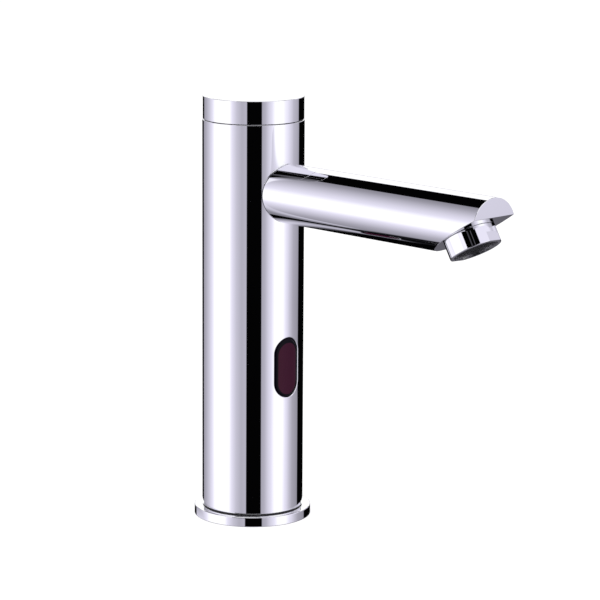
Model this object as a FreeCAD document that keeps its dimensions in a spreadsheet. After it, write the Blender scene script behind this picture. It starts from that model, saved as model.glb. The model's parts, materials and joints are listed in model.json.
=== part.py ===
"""Deck-mounted sensor tap: a chromed column with a horizontal spout and the water and sensing parts inside.

Millimetres. The origin is the centre of the base plate's underside, +Z is up and the spout points along -Y.
Every driving dimension is a cell of the sheet called Sizes, and each object is bound to those cells.
"""
import FreeCAD, Part
import math
import os

import Sketcher
from FreeCAD import Placement, Rotation, Vector

DOC = FreeCAD.newDocument("SensorTap")
SHEET = DOC.addObject("Spreadsheet::Sheet", "Sizes")

# alias: (millimetres, or degrees for an angle, and what it is)
DIMENSIONS = {
    # column, base plate and cap
    "bodyRadius": (22.5, "outside radius of the column"),
    "bodyWall": (3.0, "wall of the column"),
    "overallHeight": (189.0, "deck to the top of the cap"),
    "capThickness": (10.2, "part of the cap that shows"),
    "capRadius": (22.3, "outside radius of the cap"),
    "capPlugDepth": (8.0, "threaded plug under the cap"),
    "capPlugRadius": (19.4, "outside radius of that plug"),
    "capFloor": (3.0, "thickness of the cap's crown"),
    "partingGap": (0.25, "fine gap between two chromed pieces"),
    "edgeBreak": (0.4, "small bevel on a machined edge"),
    "plateRadius": (26.0, "outside radius of the base plate"),
    "plateThickness": (4.4, "thickness of the base plate"),
    "plateHole": (17.2, "radius of the plate's centre hole"),
    "gasketInner": (20.4, "inside radius of the deck gasket"),
    "gasketOuter": (23.6, "outside radius of the deck gasket"),
    "gasketDepth": (1.6, "groove depth and gasket thickness"),
    "fitGap": (0.05, "running clearance between pieces"),
    # inlet block in the foot
    "footClearance": (0.3, "underside of the block above the deck"),
    "blockNeckRadius": (17.0, "block inside the base plate"),
    "blockRadius": (19.4, "block inside the column"),
    "blockTop": (24.0, "top of the block"),
    "studRadius": (4.0, "M8 fixing stud"),
    "studOffset": (10.5, "stud centre in front of the axis"),
    "studDepth": (16.0, "bottom of the stud's hole above the deck"),
    "inletRadius": (5.0, "M10x1 hose tail"),
    "inletOffset": (11.0, "water inlet behind the axis"),
    "inletDepth": (9.0, "top of the hose thread above the deck"),
    "chamberRadius": (6.25, "bore for the check valve cartridge"),
    "glandRadius": (3.2, "outside radius of the lead's grommet"),
    "glandBore": (2.2, "bore of the grommet"),
    "glandFlange": (4.6, "flange of the grommet"),
    "glandFlangeThickness": (1.6, "thickness of that flange"),
    "glandSide": (11.5, "grommet to the right of the axis"),
    "glandFront": (3.0, "grommet in front of the axis"),
    "grubRadius": (2.0, "M4 grub screw"),
    "grubHeight": (13.0, "height of the grub screws"),
    "grubInner": (14.6, "inner end of a grub screw from the axis"),
    "grubOuter": (22.1, "outer end of a grub screw from the axis"),
    "grubSocket": (1.15, "circumradius of its hexagon socket"),
    "grubSocketDepth": (2.5, "depth of that socket"),
    "grubAngle": (35.0, "angle of each grub screw from the back"),
    # check valve
    "strainerThickness": (0.8, "perforated disc under the check valve"),
    "checkRadius": (6.2, "outside radius of the cartridge"),
    "checkBottom": (9.9, "bottom of the cartridge"),
    "checkSeatRadius": (3.0, "water way through its seat"),
    "checkSeatHeight": (12.0, "sharp edge of the seat"),
    "checkBore": (4.6, "bore that guides the poppet"),
    "checkSeatRise": (1.0, "height of the seat's cone"),
    "checkCrown": (26.0, "underside of the cartridge's crown"),
    "checkCrownThickness": (2.0, "thickness of the crown"),
    "checkCrownHole": (2.8, "water way through the crown"),
    "checkTop": (36.0, "top of the pipe socket"),
    "socketRadius": (5.05, "bore of a pipe socket"),
    "poppetRadius": (4.5, "guided rim of the poppet"),
    "poppetRim": (1.5, "height of that rim"),
    "poppetStem": (1.2, "radius of the stem"),
    "poppetTop": (22.0, "top of the stem"),
    "poppetNotch": (1.2, "radius of each water notch in the rim"),
    "seatClearance": (0.3, "poppet's cone above the seat's cone"),
    "springWire": (0.25, "half the thickness of a spring's wire"),
    "springSeat": (0.3, "middle of the wire from the face that the spring rests on"),
    "checkSpringRadius": (2.0, "middle radius of the check valve's spring"),
    "plungerSpringRadius": (1.45, "middle radius of the plunger's spring"),
    # riser pipe
    "pipeRadius": (5.0, "outside radius of the riser"),
    "pipeBore": (3.4, "bore of the riser"),
    "pipeBottom": (28.2, "lower end of the riser"),
    "pipeTop": (101.3, "upper end of the riser"),
    "ringGrooveRadius": (4.2, "bottom of a ring groove"),
    "ringGrooveWidth": (1.6, "width of a ring groove"),
    "ringInset": (3.0, "groove edge from the end of the pipe"),
    "ringSection": (0.4, "half the thickness of an O-ring"),
    # solenoid valve
    "valveBottom": (96.0, "underside of the valve body"),
    "valveTop": (117.0, "top face of the valve body"),
    "valveRadius": (18.9, "outside radius of the valve body"),
    "valveOffset": (6.5, "valve axis behind the column's axis"),
    "valveSocketTop": (101.5, "top of the riser's socket"),
    "valvePassage": (2.25, "feed bore to the ring chamber"),
    "valvePassageOffset": (13.7, "feed bore behind the column's axis"),
    "valveRingInner": (5.0, "ring chamber, inside"),
    "valveRingOuter": (9.0, "ring chamber, outside"),
    "valveRingFloor": (111.0, "floor of the ring chamber"),
    "valveRecess": (10.7, "radius of the membrane's recess"),
    "valveRecessFloor": (115.6, "floor of that recess"),
    "valveSeatTop": (115.0, "rim of the valve seat"),
    "valveBore": (3.2, "outlet bore"),
    "valveChannel": (106.7, "height of the cross channel"),
    "valveCross": (3.5, "radius of the cross channel"),
    "outletOffset": (8.9, "outlet pipe in front of the axis"),
    "outletSocketFloor": (112.0, "floor of the outlet pipe's socket"),
    "leadNotchSide": (11.7, "notch for the lead from the axis"),
    "leadNotchWidth": (5.0, "width of that notch"),
    "screwRadius": (1.25, "M2.5 bonnet screw"),
    "screwClearance": (1.35, "hole for it in the bonnet"),
    "screwSpreadSide": (10.8, "bonnet screws left and right of the axis"),
    "screwSpreadBack": (5.7, "bonnet screws from the valve's axis"),
    "screwBottom": (111.0, "lower end of a bonnet screw"),
    "screwHeadRadius": (2.2, "head of a bonnet screw"),
    "screwHeadHeight": (1.6, "height of that head"),
    "screwSocket": (1.0, "circumradius of its hexagon socket"),
    "bonnetThickness": (4.0, "flange of the bonnet"),
    "bonnetWidth": (27.0, "flange from side to side"),
    "bonnetDepth": (21.6, "flange from front to back"),
    "bonnetRadius": (18.6, "round ends of the flange"),
    "bonnetCavity": (9.2, "pressure chamber above the membrane"),
    "bonnetCavityTop": (119.3, "top of that chamber"),
    "guideRadius": (4.5, "outside radius of the plunger's tube"),
    "guideBore": (3.3, "bore of that tube"),
    "guideBoreTop": (146.0, "end of the bore"),
    "guideRoot": (119.0, "lower end of the tube in the flange"),
    "guideTop": (148.6, "top of the tube"),
    "tailRadius": (2.0, "threaded tail on the tube"),
    "tailTop": (153.0, "top of that tail"),
    "membraneRadius": (10.6, "outside radius of the membrane"),
    "membranePad": (5.4, "thick middle of the membrane"),
    "membraneHole": (1.2, "hole in the middle of the membrane"),
    "membraneTop": (116.6, "top of its thick middle"),
    "membraneWebTop": (116.2, "top of its thin web"),
    "membraneBead": (9.6, "inside radius of its bead"),
    "plateInsertRadius": (4.6, "stiff disc on the membrane"),
    "plateInsertThickness": (0.85, "thickness of the disc"),
    "pilotBoss": (1.2, "raised pilot seat"),
    "pilotTop": (117.9, "top of the pilot seat"),
    "pilotHole": (0.4, "pilot hole"),
    "plungerRadius": (3.2, "plunger in its tube"),
    "plungerBottom": (118.6, "lower end of the steel plunger"),
    "plungerTop": (140.0, "upper end of the plunger"),
    "plungerPocket": (1.9, "radius of the spring's pocket"),
    "plungerPocketFloor": (133.0, "floor of that pocket"),
    "sealRadius": (1.6, "rubber tip of the plunger"),
    "sealTop": (120.0, "top of the rubber tip"),
    # coil
    "coilBottom": (123.2, "underside of the yoke"),
    "yokeThickness": (1.8, "strip of the yoke"),
    "yokeWidth": (10.0, "width of the strip"),
    "yokeReach": (9.5, "free side of the yoke"),
    "yokeBack": (12.1, "closed side of the yoke"),
    "bobbinBore": (4.6, "bore of the bobbin"),
    "bobbinCore": (5.6, "tube of the bobbin"),
    "bobbinFlange": (9.4, "flanges of the bobbin"),
    "bobbinFlangeThickness": (1.0, "thickness of a flange"),
    "coilTop": (148.8, "top of the yoke"),
    "windingRadius": (9.0, "outside of the winding"),
    "jacketRadius": (9.9, "outside of the jacket"),
    "plugSide": (14.6, "end of the coil's socket from the axis"),
    "plugWidth": (5.0, "width of that socket"),
    "plugHeight": (8.0, "height of that socket"),
    "plugBottom": (127.0, "underside of that socket"),
    "nutFlats": (6.0, "half the width of the coil's nut across its flats"),
    "nutThickness": (3.0, "thickness of that nut"),
    # outlet pipe and spout
    "elbowRadius": (3.6, "outside radius of the outlet pipe"),
    "elbowBore": (2.7, "bore of the outlet pipe"),
    "elbowBend": (5.0, "bend radius of the outlet pipe"),
    "plugRadius": (6.4, "plug on the end of the outlet pipe"),
    "plugEnd": (20.4, "front end of that plug from the axis"),
    "plugGroove": (5.55, "bottom of the plug's ring groove"),
    "plugGrooveAt": (17.0, "middle of that groove from the axis"),
    "spoutHeight": (147.9, "height of the spout's axis"),
    "spoutRadius": (13.05, "outside radius of the spout"),
    "spoutReach": (142.8, "end face from the column's axis"),
    "spoutRound": (0.25, "rounding of the end face's edge"),
    "spoutBore": (9.0, "bore of the spout"),
    "spoutBoreStart": (30.0, "start of that bore from the column's axis"),
    "spoutBoreEnd": (112.0, "end of that bore"),
    "tipPassage": (6.0, "narrow passage to the aerator"),
    "tipPassageEnd": (124.0, "end of that passage"),
    "spigotRadius": (8.5, "threaded spigot through the column"),
    "spigotBore": (6.45, "bore of the spigot"),
    "spigotEnd": (12.8, "inner end of the spigot from the axis"),
    "spigotHole": (8.6, "hole in the column for the spigot"),
    "saddleFace": (16.0, "flat side of the saddle washer from the axis"),
    "saddleRadius": (11.0, "outside radius of washer and nut"),
    "nutSlot": (3.0, "width of the slots in the spout's nut"),
    "nutSlotDepth": (1.6, "depth of those slots"),
    # mitred tip and aerator, measured along and square to the slanted face
    "tipAngle": (30.8, "slanted face to the spout's axis"),
    "tipStart": (112.9, "start of the slanted face from the column's axis"),
    "aeratorAlong": (18.8, "aerator's centre along the slanted face"),
    "seatDepth": (7.0, "depth of the aerator's seat"),
    "seatRadius": (10.05, "M20x1 seat"),
    "threadRadius": (9.95, "M20x1 thread of the aerator"),
    "washerInner": (7.6, "inside radius of the aerator's washer"),
    "washerOuter": (9.9, "outside radius of that washer"),
    "washerThickness": (1.2, "thickness of that washer"),
    "collarRadius": (11.2, "collar of the aerator"),
    "collarLength": (8.0, "collar below the slanted face"),
    "collarFlats": (10.6, "half the width across the spanner flats"),
    "collarFlatLength": (4.2, "height of the spanner flats"),
    "collarFlatTurn": (8.0, "turn of the flats in the photographed position"),
    "mouthRadius": (9.6, "mouth of the collar"),
    "insertNeck": (8.5, "upper part of the insert"),
    "insertChamber": (7.8, "mixing chamber in the insert"),
    "insertRecess": (0.8, "insert's face behind the collar's rim"),
    "insertGrid": (5.0, "depth of the honeycomb"),
    "cellPitch": (2.4, "distance between honeycomb cells"),
    "cellRadius": (1.15, "circumradius of a cell"),
    "sieveRadius": (0.75, "circumradius of a strainer opening"),
    # sensor
    "windowHeight": (70.3, "middle of the window above the deck"),
    "windowWidth": (13.8, "width of the slot in the column"),
    "windowLength": (26.8, "height of the slot"),
    "windowRecess": (0.15, "window behind the column's surface"),
    "windowBack": (16.0, "back of the window from the axis"),
    "windowFlange": (1.9, "flange of the window round the slot"),
    "windowFlangeFront": (17.3, "front of that flange from the axis"),
    "sensorFront": (15.9, "front of the sensor housing from the axis"),
    "sensorBack": (7.0, "back of the sensor housing from the axis"),
    "sensorWidth": (18.0, "width of the sensor housing"),
    "sensorLength": (36.0, "height of the sensor housing"),
    "sensorWall": (1.5, "wall of the sensor housing"),
    "sensorFloor": (3.0, "front wall of the sensor housing"),
    "diodeRadius": (2.5, "5 mm diode"),
    "diodeSpacing": (14.0, "between the two diodes"),
    "diodeLength": (7.6, "diode from its flange to its tip"),
    "boardThickness": (1.2, "circuit board"),
    "clipOuter": (19.3, "outside radius of the spring clip"),
    "clipStrip": (1.0, "thickness of the clip"),
    "clipHeight": (12.0, "height of the clip"),
    "clipLeg": (6.0, "end of each leg from the middle"),
    "leadRadius": (1.1, "coil lead"),
    "leadSide": (13.1, "coil lead from the axis"),
    "leadDrop": (98.0, "lower end of the lead's upright run"),
    "leadBoardSide": (5.8, "lead's end on the board from the axis"),
    "leadBoardHeight": (81.0, "lead's end on the board above the deck"),
}


class Size:
    """A length or angle that carries both its value and the expression that gives it."""

    def __init__(self, value, text=None):
        self.value = float(value)
        self.text = text or repr(float(value))

    @staticmethod
    def of(other):
        return other if isinstance(other, Size) else Size(other)

    def combine(self, other, sign, value):
        return Size(value, f"({self.text} {sign} {other.text})")

    def __add__(self, other):
        other = Size.of(other)
        return self.combine(other, "+", self.value + other.value)

    def __sub__(self, other):
        other = Size.of(other)
        return self.combine(other, "-", self.value - other.value)

    def __mul__(self, other):
        other = Size.of(other)
        return self.combine(other, "*", self.value * other.value)

    def __truediv__(self, other):
        other = Size.of(other)
        return self.combine(other, "/", self.value / other.value)

    def __radd__(self, other):
        return Size.of(other) + self

    def __rsub__(self, other):
        return Size.of(other) - self

    def __rmul__(self, other):
        return Size.of(other) * self

    def __neg__(self):
        return Size(0) - self


class Sizes:
    """The sheet's cells, each as an attribute."""

    def __init__(self, sheet, dimensions):
        for row, (alias, (value, meaning)) in enumerate(dimensions.items(), start=1):
            sheet.set(f"A{row}", meaning)
            sheet.set(f"B{row}", str(value))
            sheet.setAlias(f"B{row}", alias)
            setattr(self, alias, Size(value, f"Sizes.{alias}"))


S = Sizes(SHEET, DIMENSIONS)
DOC.recompute()

Z_UP = Rotation()
Y_FRONT = Rotation(Vector(1, 0, 0), 90)  # local Z runs along -Y
X_RIGHT = Rotation(Vector(0, 1, 0), 90)  # local Z runs along +X
FULL_TURN = 2 * math.pi
PARTS = []


def sine(angle):
    """Sine of an angle in degrees."""
    return Size(math.sin(math.radians(angle.value)), f"sin({angle.text} * 1 deg)")


def cosine(angle):
    """Cosine of an angle in degrees."""
    return Size(math.cos(math.radians(angle.value)), f"cos({angle.text} * 1 deg)")


def bind(obj, name, size):
    """Bind a property of an object to an expression."""
    obj.setExpression(name, Size.of(size).text)


def place(obj, at=(0, 0, 0), turn=Z_UP):
    """Give an object its position, bound to the sheet, and its direction."""
    spot = [Size.of(value) for value in at]
    obj.Placement = Placement(Vector(*(size.value for size in spot)), turn)
    for axis, size in zip("xyz", spot):
        if size.text != repr(0.0):
            bind(obj, f"Placement.Base.{axis}", size)
    return obj


def cylinder(radius, height, at=(0, 0, 0), turn=Z_UP):
    obj = DOC.addObject("Part::Cylinder", "Cylinder")
    bind(obj, "Radius", radius)
    bind(obj, "Height", height)
    return place(obj, at, turn)


def box(width, depth, height, at=(0, 0, 0), turn=Z_UP):
    """A box whose lowest corner is at the given place."""
    obj = DOC.addObject("Part::Box", "Box")
    for name, size in (("Length", width), ("Width", depth), ("Height", height)):
        bind(obj, name, size)
    return place(obj, at, turn)


def prism(circumradius, height, at=(0, 0, 0), turn=Z_UP):
    """A hexagonal prism."""
    obj = DOC.addObject("Part::Prism", "Prism")
    obj.Polygon = 6
    bind(obj, "Circumradius", circumradius)
    bind(obj, "Height", height)
    return place(obj, at, turn)


def fuse(*objects):
    obj = DOC.addObject("Part::MultiFuse", "Fusion")
    obj.Shapes = list(objects)
    return obj


def group(*objects):
    """Several separate solids as one object."""
    obj = DOC.addObject("Part::Compound", "Group")
    obj.Links = list(objects)
    return obj


def cut(base, *tools):
    obj = DOC.addObject("Part::Cut", "Cut")
    obj.Base = base
    obj.Tool = tools[0] if len(tools) == 1 else fuse(*tools)
    return obj


def common(*objects):
    obj = DOC.addObject("Part::MultiCommon", "Common")
    obj.Shapes = list(objects)
    return obj


def rounded(base, radius, chosen):
    """Round the edges of a Part object that the test picks."""
    DOC.recompute()
    obj = DOC.addObject("Part::Fillet", "Rounding")
    obj.Base = base
    edges = enumerate(base.Shape.Edges, start=1)
    obj.Edges = [(number, radius.value, radius.value) for number, edge in edges if chosen(edge)]
    return obj


def outline(sketch, corners):
    """Draw a closed outline whose corners are bound to the sheet."""
    spots = [(Size.of(a), Size.of(b)) for a, b in corners]
    points = [Vector(a.value, b.value, 0) for a, b in spots]
    count = len(points)
    for i in range(count):
        sketch.addGeometry(Part.LineSegment(points[i], points[(i + 1) % count]), False)
    for i in range(count):
        sketch.addConstraint(Sketcher.Constraint("Coincident", i, 2, (i + 1) % count, 1))
    for i, spot in enumerate(spots):
        for kind, axis, size in (("DistanceX", -2, spot[0]), ("DistanceY", -1, spot[1])):
            if size.value == 0:
                sketch.addConstraint(Sketcher.Constraint("PointOnObject", i, 1, axis))
            else:
                number = sketch.addConstraint(Sketcher.Constraint(kind, -1, 1, i, 1, size.value))
                bind(sketch, f"Constraints[{number}]", size)


def turned(name, corners, at=(0, 0, 0), turn=Z_UP):
    """A body turned about its own Z axis from corners given as radius and height."""
    body = DOC.addObject("PartDesign::Body", f"Turned_{name}")
    sketch = body.newObject("Sketcher::SketchObject", f"Profile_{name}")
    plane = next(p for p in body.Origin.OriginFeatures if p.Role == "XZ_Plane")
    sketch.AttachmentSupport = [(plane, "")]
    sketch.MapMode = "FlatFace"
    outline(sketch, corners)
    revolution = body.newObject("PartDesign::Revolution", f"Revolution_{name}")
    revolution.Profile = sketch
    revolution.ReferenceAxis = (sketch, ["V_Axis"])
    revolution.Angle = 360
    return place(body, at, turn)


def ring(name, radius, section, at=(0, 0, 0), turn=Z_UP):
    """An O-ring, with a six-sided section that keeps its faces few."""
    corners = []
    for k in range(6):
        angle = math.radians(60 * k)
        corners.append((radius + section * round(math.cos(angle), 4), section * round(math.sin(angle), 4)))
    return turned(name, corners, at, turn)


def extruded(name, corners, height, at=(0, 0, 0), plane_role="XY_Plane"):
    """A body padded from an outline on one of its origin planes."""
    body = DOC.addObject("PartDesign::Body", f"Extruded_{name}")
    sketch = body.newObject("Sketcher::SketchObject", f"Outline_{name}")
    plane = next(p for p in body.Origin.OriginFeatures if p.Role == plane_role)
    sketch.AttachmentSupport = [(plane, "")]
    sketch.MapMode = "FlatFace"
    outline(sketch, corners)
    pad = body.newObject("PartDesign::Pad", f"Pad_{name}")
    pad.Profile = sketch
    bind(pad, "Length", height)
    pad.Midplane = True
    return place(body, at)


def stadium(width, length, depth, front, middle):
    """An upright slot-shaped prism that starts at y = -front and runs back by depth."""
    half = width / 2
    straight = length / 2 - half
    ends = [cylinder(half, depth, (0, depth - front, middle + s * straight), Y_FRONT) for s in (-1, 1)]
    return fuse(box(width, depth, 2 * straight, (-half, -front, middle - straight)), *ends)


def node(name, obj):
    """Name a finished sub-part."""
    obj.Label = name
    PARTS.append(obj)
    return obj


def tip_place(obj, depth=Size(0)):
    """Stand an object square on the slanted face: its Z axis points out of it, from the seat's far end."""
    along = S.aeratorAlong
    inward = S.seatDepth - depth
    y = -(S.tipStart + along * cosine(S.tipAngle)) + inward * sine(S.tipAngle)
    z = S.spoutHeight - S.spoutRadius + along * sine(S.tipAngle) + inward * cosine(S.tipAngle)
    place(obj, (0, y, z), Rotation(Vector(1, 0, 0), 180 - S.tipAngle.value))
    bind(obj, "Placement.Rotation.Angle", 180 - S.tipAngle)
    return obj


def biarc(start, start_way, end, end_way):
    """Two arcs that leave and arrive along the given directions."""
    gap, ways = end - start, start_way + end_way
    a, b, c = 2 * (1 - start_way.dot(end_way)), 2 * gap.dot(ways), -gap.dot(gap)
    reach = -c / b if abs(a) < 1e-9 else (-b + math.sqrt(b * b - 4 * a * c)) / (2 * a)
    first, second = start + start_way * reach, end - end_way * reach
    middle = (first + second) * 0.5
    return [arc(start, first, middle), arc(middle, second, end)]


def arc(start, corner, end):
    """The arc from start to end that is tangent to the lines to their common corner."""
    bisector = (start + end) * 0.5 - corner
    half = math.atan2((end - start).Length / 2, bisector.Length)
    run = (start - corner).Length
    crest = corner + bisector.normalize() * (run / math.cos(half) - run * math.tan(half))
    return Part.Arc(start, crest, end).toShape()


def swept(edges, section):
    """A solid swept along edges that join without a kink."""
    return Part.Wire(edges).makePipeShell([section], True, False)


def spring(name, radius, turns, bottom, top, at):
    """A compression spring of six-sided wire between two faces."""
    low, high = bottom + S.springSeat, top - S.springSeat
    rise = (high - low).value / turns
    coil, wire = radius.value, S.springWire.value

    def spot(turn):
        angle = FULL_TURN * turn
        way = Vector(-coil * math.sin(angle), coil * math.cos(angle), rise / FULL_TURN)
        return Vector(coil * math.cos(angle), coil * math.sin(angle), low.value + rise * turn), way.normalize()

    edges = []
    for quarter in range(4 * turns):
        start, end = spot(quarter / 4), spot((quarter + 1) / 4)
        edges += biarc(*start, *end)
    start, way = spot(0)
    out = Vector(1, 0, 0)
    side = way.cross(out)
    corners = []
    for k in range(7):
        angle = math.radians(60 * k)
        corners.append(start + out * (wire * math.cos(angle)) + side * (wire * math.sin(angle)))
    obj = DOC.addObject("Part::Feature", f"Spring_{name}")
    obj.Shape = swept(edges, Part.makePolygon(corners))
    print(name, "least gap between turns", round(rise - 2 * wire, 2), "mm")
    return place(obj, at)


def routed(name, points, radius):
    """A lead along straight runs joined by tangent arcs."""
    corners = []
    for before, corner, after in zip(points, points[1:], points[2:]):
        back, on = before - corner, after - corner
        turn = math.pi - back.getAngle(on)
        bend = 0.45 * min(back.Length, on.Length) / math.tan(turn / 2)
        reach = bend * math.tan(turn / 2)
        print(name, "bend radius", round(bend, 1), "mm")
        corners.append((corner + back.normalize() * reach, corner, corner + on.normalize() * reach))
    edges, last = [], points[0]
    for start, corner, end in corners:
        edges += [Part.LineSegment(last, start).toShape(), arc(start, corner, end)]
        last = end
    edges.append(Part.LineSegment(last, points[-1]).toShape())
    section = Part.Wire([Part.Circle(points[0], points[1] - points[0], radius).toShape()])
    obj = DOC.addObject("Part::Feature", f"Lead_{name}")
    obj.Shape = swept(edges, section)
    return obj


def honeycomb(radius, depth, start, rings=3):
    """Hexagonal cells on a hexagonal grid, as separate prisms along Z."""
    cells = []
    for i in range(-rings, rings + 1):
        for j in range(max(-rings, -i - rings), min(rings, -i + rings) + 1):
            across = S.cellPitch * (i + j / 2)
            along = S.cellPitch * (j * math.sqrt(3) / 2)
            cells.append(prism(radius, depth, (across, along, start), Rotation(Vector(0, 0, 1), 30)))
    return group(*cells)


# column -----------------------------------------------------------------------------------------

BORE = S.bodyRadius - S.bodyWall
CAP_UNDERSIDE = S.overallHeight - S.capThickness
COLUMN_TOP = CAP_UNDERSIDE - S.partingGap
DEPTH = Size(60)  # longer than any hole that a cutting tool goes through


def base_plate():
    """The round foot, with a groove under it for the deck gasket."""
    outer, top, bevel = S.plateRadius, S.plateThickness, S.edgeBreak
    return turned("base_plate", [
        (S.plateHole, 0), (S.gasketInner, 0), (S.gasketInner, S.gasketDepth),
        (S.gasketOuter, S.gasketDepth), (S.gasketOuter, 0), (outer - bevel, 0),
        (outer, bevel), (outer, top - bevel), (outer - bevel, top), (S.plateHole, top),
    ])


def base_gasket():
    """The rubber ring in the foot's groove."""
    return turned("base_gasket", [
        (S.gasketInner, 0), (S.gasketOuter, 0), (S.gasketOuter, S.gasketDepth), (S.gasketInner, S.gasketDepth),
    ])


def grub_spots():
    """Angles of the two grub screws about the column, from +X."""
    return [90 - S.grubAngle.value, 90 + S.grubAngle.value]


def radial(make, angle, inner, height):
    """Turn a piece that points along its own Z outwards at an angle about the column."""
    turn = Rotation(Vector(0, 0, 1), angle) * X_RIGHT
    way = math.radians(angle)
    return place(make, (inner * math.cos(way), inner * math.sin(way), height), turn)


def body_shell():
    """The column: a tube with the window's slot, the spout's hole and two small screw holes."""
    bevel = S.edgeBreak
    tube = turned("body_shell", [
        (BORE, S.plateThickness), (S.bodyRadius - bevel, S.plateThickness),
        (S.bodyRadius, S.plateThickness + bevel), (S.bodyRadius, COLUMN_TOP - bevel / 2),
        (S.bodyRadius - bevel / 2, COLUMN_TOP), (BORE, COLUMN_TOP),
    ])
    slot = stadium(S.windowWidth, S.windowLength, DEPTH / 2, DEPTH / 2, S.windowHeight)
    spout_hole = cylinder(S.spigotHole, DEPTH / 2, (0, 0, S.spoutHeight), Y_FRONT)
    screw_holes = [
        radial(cylinder(S.grubRadius + S.fitGap, DEPTH / 2), angle, S.grubInner, S.grubHeight)
        for angle in grub_spots()
    ]
    return cut(tube, slot, spout_hole, *screw_holes)


def body_grub_screws():
    """Two socket screws that lock the column to the inlet block."""
    length = S.grubOuter - S.grubInner
    screws = []
    for angle in grub_spots():
        shank = radial(cylinder(S.grubRadius, length), angle, S.grubInner, S.grubHeight)
        socket_start = S.grubOuter - S.grubSocketDepth
        socket = radial(prism(S.grubSocket, S.grubSocketDepth * 2), angle, socket_start, S.grubHeight)
        screws.append(cut(shank, socket))
    return group(*screws)


def top_cap():
    """The cap: a thick chromed disc over a hollow threaded plug with a ring groove."""
    top, plug = S.overallHeight, S.capPlugRadius
    groove_top = CAP_UNDERSIDE - S.fitGap
    groove_bottom = groove_top - S.ringGrooveWidth
    groove = plug - S.ringSection * 2 - S.fitGap
    hollow = plug - S.bodyWall
    bevel = S.edgeBreak / 2
    return turned("top_cap", [
        (0, top - S.capFloor), (hollow, top - S.capFloor), (hollow, CAP_UNDERSIDE - S.capPlugDepth),
        (plug, CAP_UNDERSIDE - S.capPlugDepth), (plug, groove_bottom), (groove, groove_bottom),
        (groove, groove_top + S.fitGap), (S.capRadius - bevel, CAP_UNDERSIDE),
        (S.capRadius, CAP_UNDERSIDE + bevel), (S.capRadius, top - bevel), (S.capRadius - bevel, top),
        (0, top),
    ])


def cap_o_ring():
    """The ring that seals the cap in the column."""
    radius = S.capPlugRadius - S.ringSection
    height = CAP_UNDERSIDE - S.fitGap - S.ringGrooveWidth / 2
    return ring("cap_o_ring", radius, S.ringSection - S.fitGap / 2, (0, 0, height))


# foot: inlet block and check valve --------------------------------------------------------------

INLET = (0, S.inletOffset, 0)


def inlet_block():
    """The brass block in the foot: stud hole, hose thread, check valve chamber and lead hole."""
    bottom = S.footClearance
    block = turned("inlet_block", [
        (0, bottom), (S.blockNeckRadius, bottom), (S.blockNeckRadius, S.plateThickness),
        (S.blockRadius, S.plateThickness), (S.blockRadius, S.blockTop), (0, S.blockTop),
    ])
    stud = cylinder(S.studRadius, S.studDepth, (0, -S.studOffset, 0))
    hose = cylinder(S.inletRadius, S.inletDepth, INLET)
    chamber = cylinder(S.chamberRadius, S.blockTop, (0, S.inletOffset, S.inletDepth))
    gland = cylinder(S.glandRadius, DEPTH, (S.glandSide, -S.glandFront, 0))
    seats = [
        radial(cylinder(S.grubRadius + S.fitGap, DEPTH / 4), angle, S.grubInner, S.grubHeight)
        for angle in grub_spots()
    ]
    return cut(block, stud, hose, chamber, gland, *seats)


def cable_gland():
    """The rubber grommet for the lead, with its flange on top of the block."""
    top = S.blockTop
    return turned("cable_gland", [
        (S.glandBore, S.footClearance), (S.glandRadius, S.footClearance), (S.glandRadius, top),
        (S.glandFlange, top), (S.glandFlange, top + S.glandFlangeThickness),
        (S.glandBore, top + S.glandFlangeThickness),
    ], (S.glandSide, -S.glandFront, 0))


def inlet_strainer():
    """A perforated disc under the check valve."""
    disc = cylinder(S.checkRadius, S.strainerThickness, (0, 0, S.inletDepth))
    holes = honeycomb(S.sieveRadius, S.strainerThickness * 3, S.inletDepth - S.strainerThickness, rings=1)
    return place(cut(disc, holes), INLET)


def check_valve_housing():
    """The cartridge: a coned seat, a guiding bore, a crown and the socket of the riser."""
    return turned("check_valve_housing", [
        (S.checkSeatRadius, S.checkBottom), (S.checkRadius, S.checkBottom), (S.checkRadius, S.checkTop),
        (S.socketRadius, S.checkTop), (S.socketRadius, S.checkCrown + S.checkCrownThickness),
        (S.checkCrownHole, S.checkCrown + S.checkCrownThickness), (S.checkCrownHole, S.checkCrown),
        (S.checkBore, S.checkCrown), (S.checkBore, S.checkSeatHeight + S.checkSeatRise),
        (S.checkSeatRadius, S.checkSeatHeight),
    ], INLET)


def check_valve_poppet():
    """The poppet: a coned head with a notched rim, and a stem for the spring."""
    low = S.checkSeatHeight + S.seatClearance
    rim = S.checkSeatHeight + S.checkSeatRise + S.seatClearance
    head = turned("check_valve_poppet", [
        (0, low), (S.checkSeatRadius, low), (S.poppetRadius, rim), (S.poppetRadius, rim + S.poppetRim),
        (S.poppetStem, rim + S.poppetRim), (S.poppetStem, S.poppetTop), (0, S.poppetTop),
    ])
    notches = []
    for quarter in range(4):
        way = math.radians(45 + 90 * quarter)
        spot = (S.poppetRadius * math.cos(way), S.poppetRadius * math.sin(way), low)
        notches.append(cylinder(S.poppetNotch, 2 * S.poppetRim + S.checkSeatRise, spot))
    return place(cut(head, *notches), INLET)


def check_valve_spring():
    """The spring that closes the poppet."""
    bottom = S.checkSeatHeight + S.checkSeatRise + S.seatClearance + S.poppetRim
    return spring("check_valve_spring", S.checkSpringRadius, 3, bottom, S.checkCrown, INLET)


def riser_pipe():
    """The pipe from the check valve up to the solenoid valve, with a ring groove near each end."""
    radius, groove, inset, width = S.pipeRadius, S.ringGrooveRadius, S.ringInset, S.ringGrooveWidth
    low, high = S.pipeBottom + inset, S.pipeTop - inset
    return turned("riser_pipe", [
        (S.pipeBore, S.pipeBottom), (radius, S.pipeBottom), (radius, low), (groove, low),
        (groove, low + width), (radius, low + width), (radius, high - width), (groove, high - width),
        (groove, high), (radius, high), (radius, S.pipeTop), (S.pipeBore, S.pipeTop),
    ], INLET)


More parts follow.
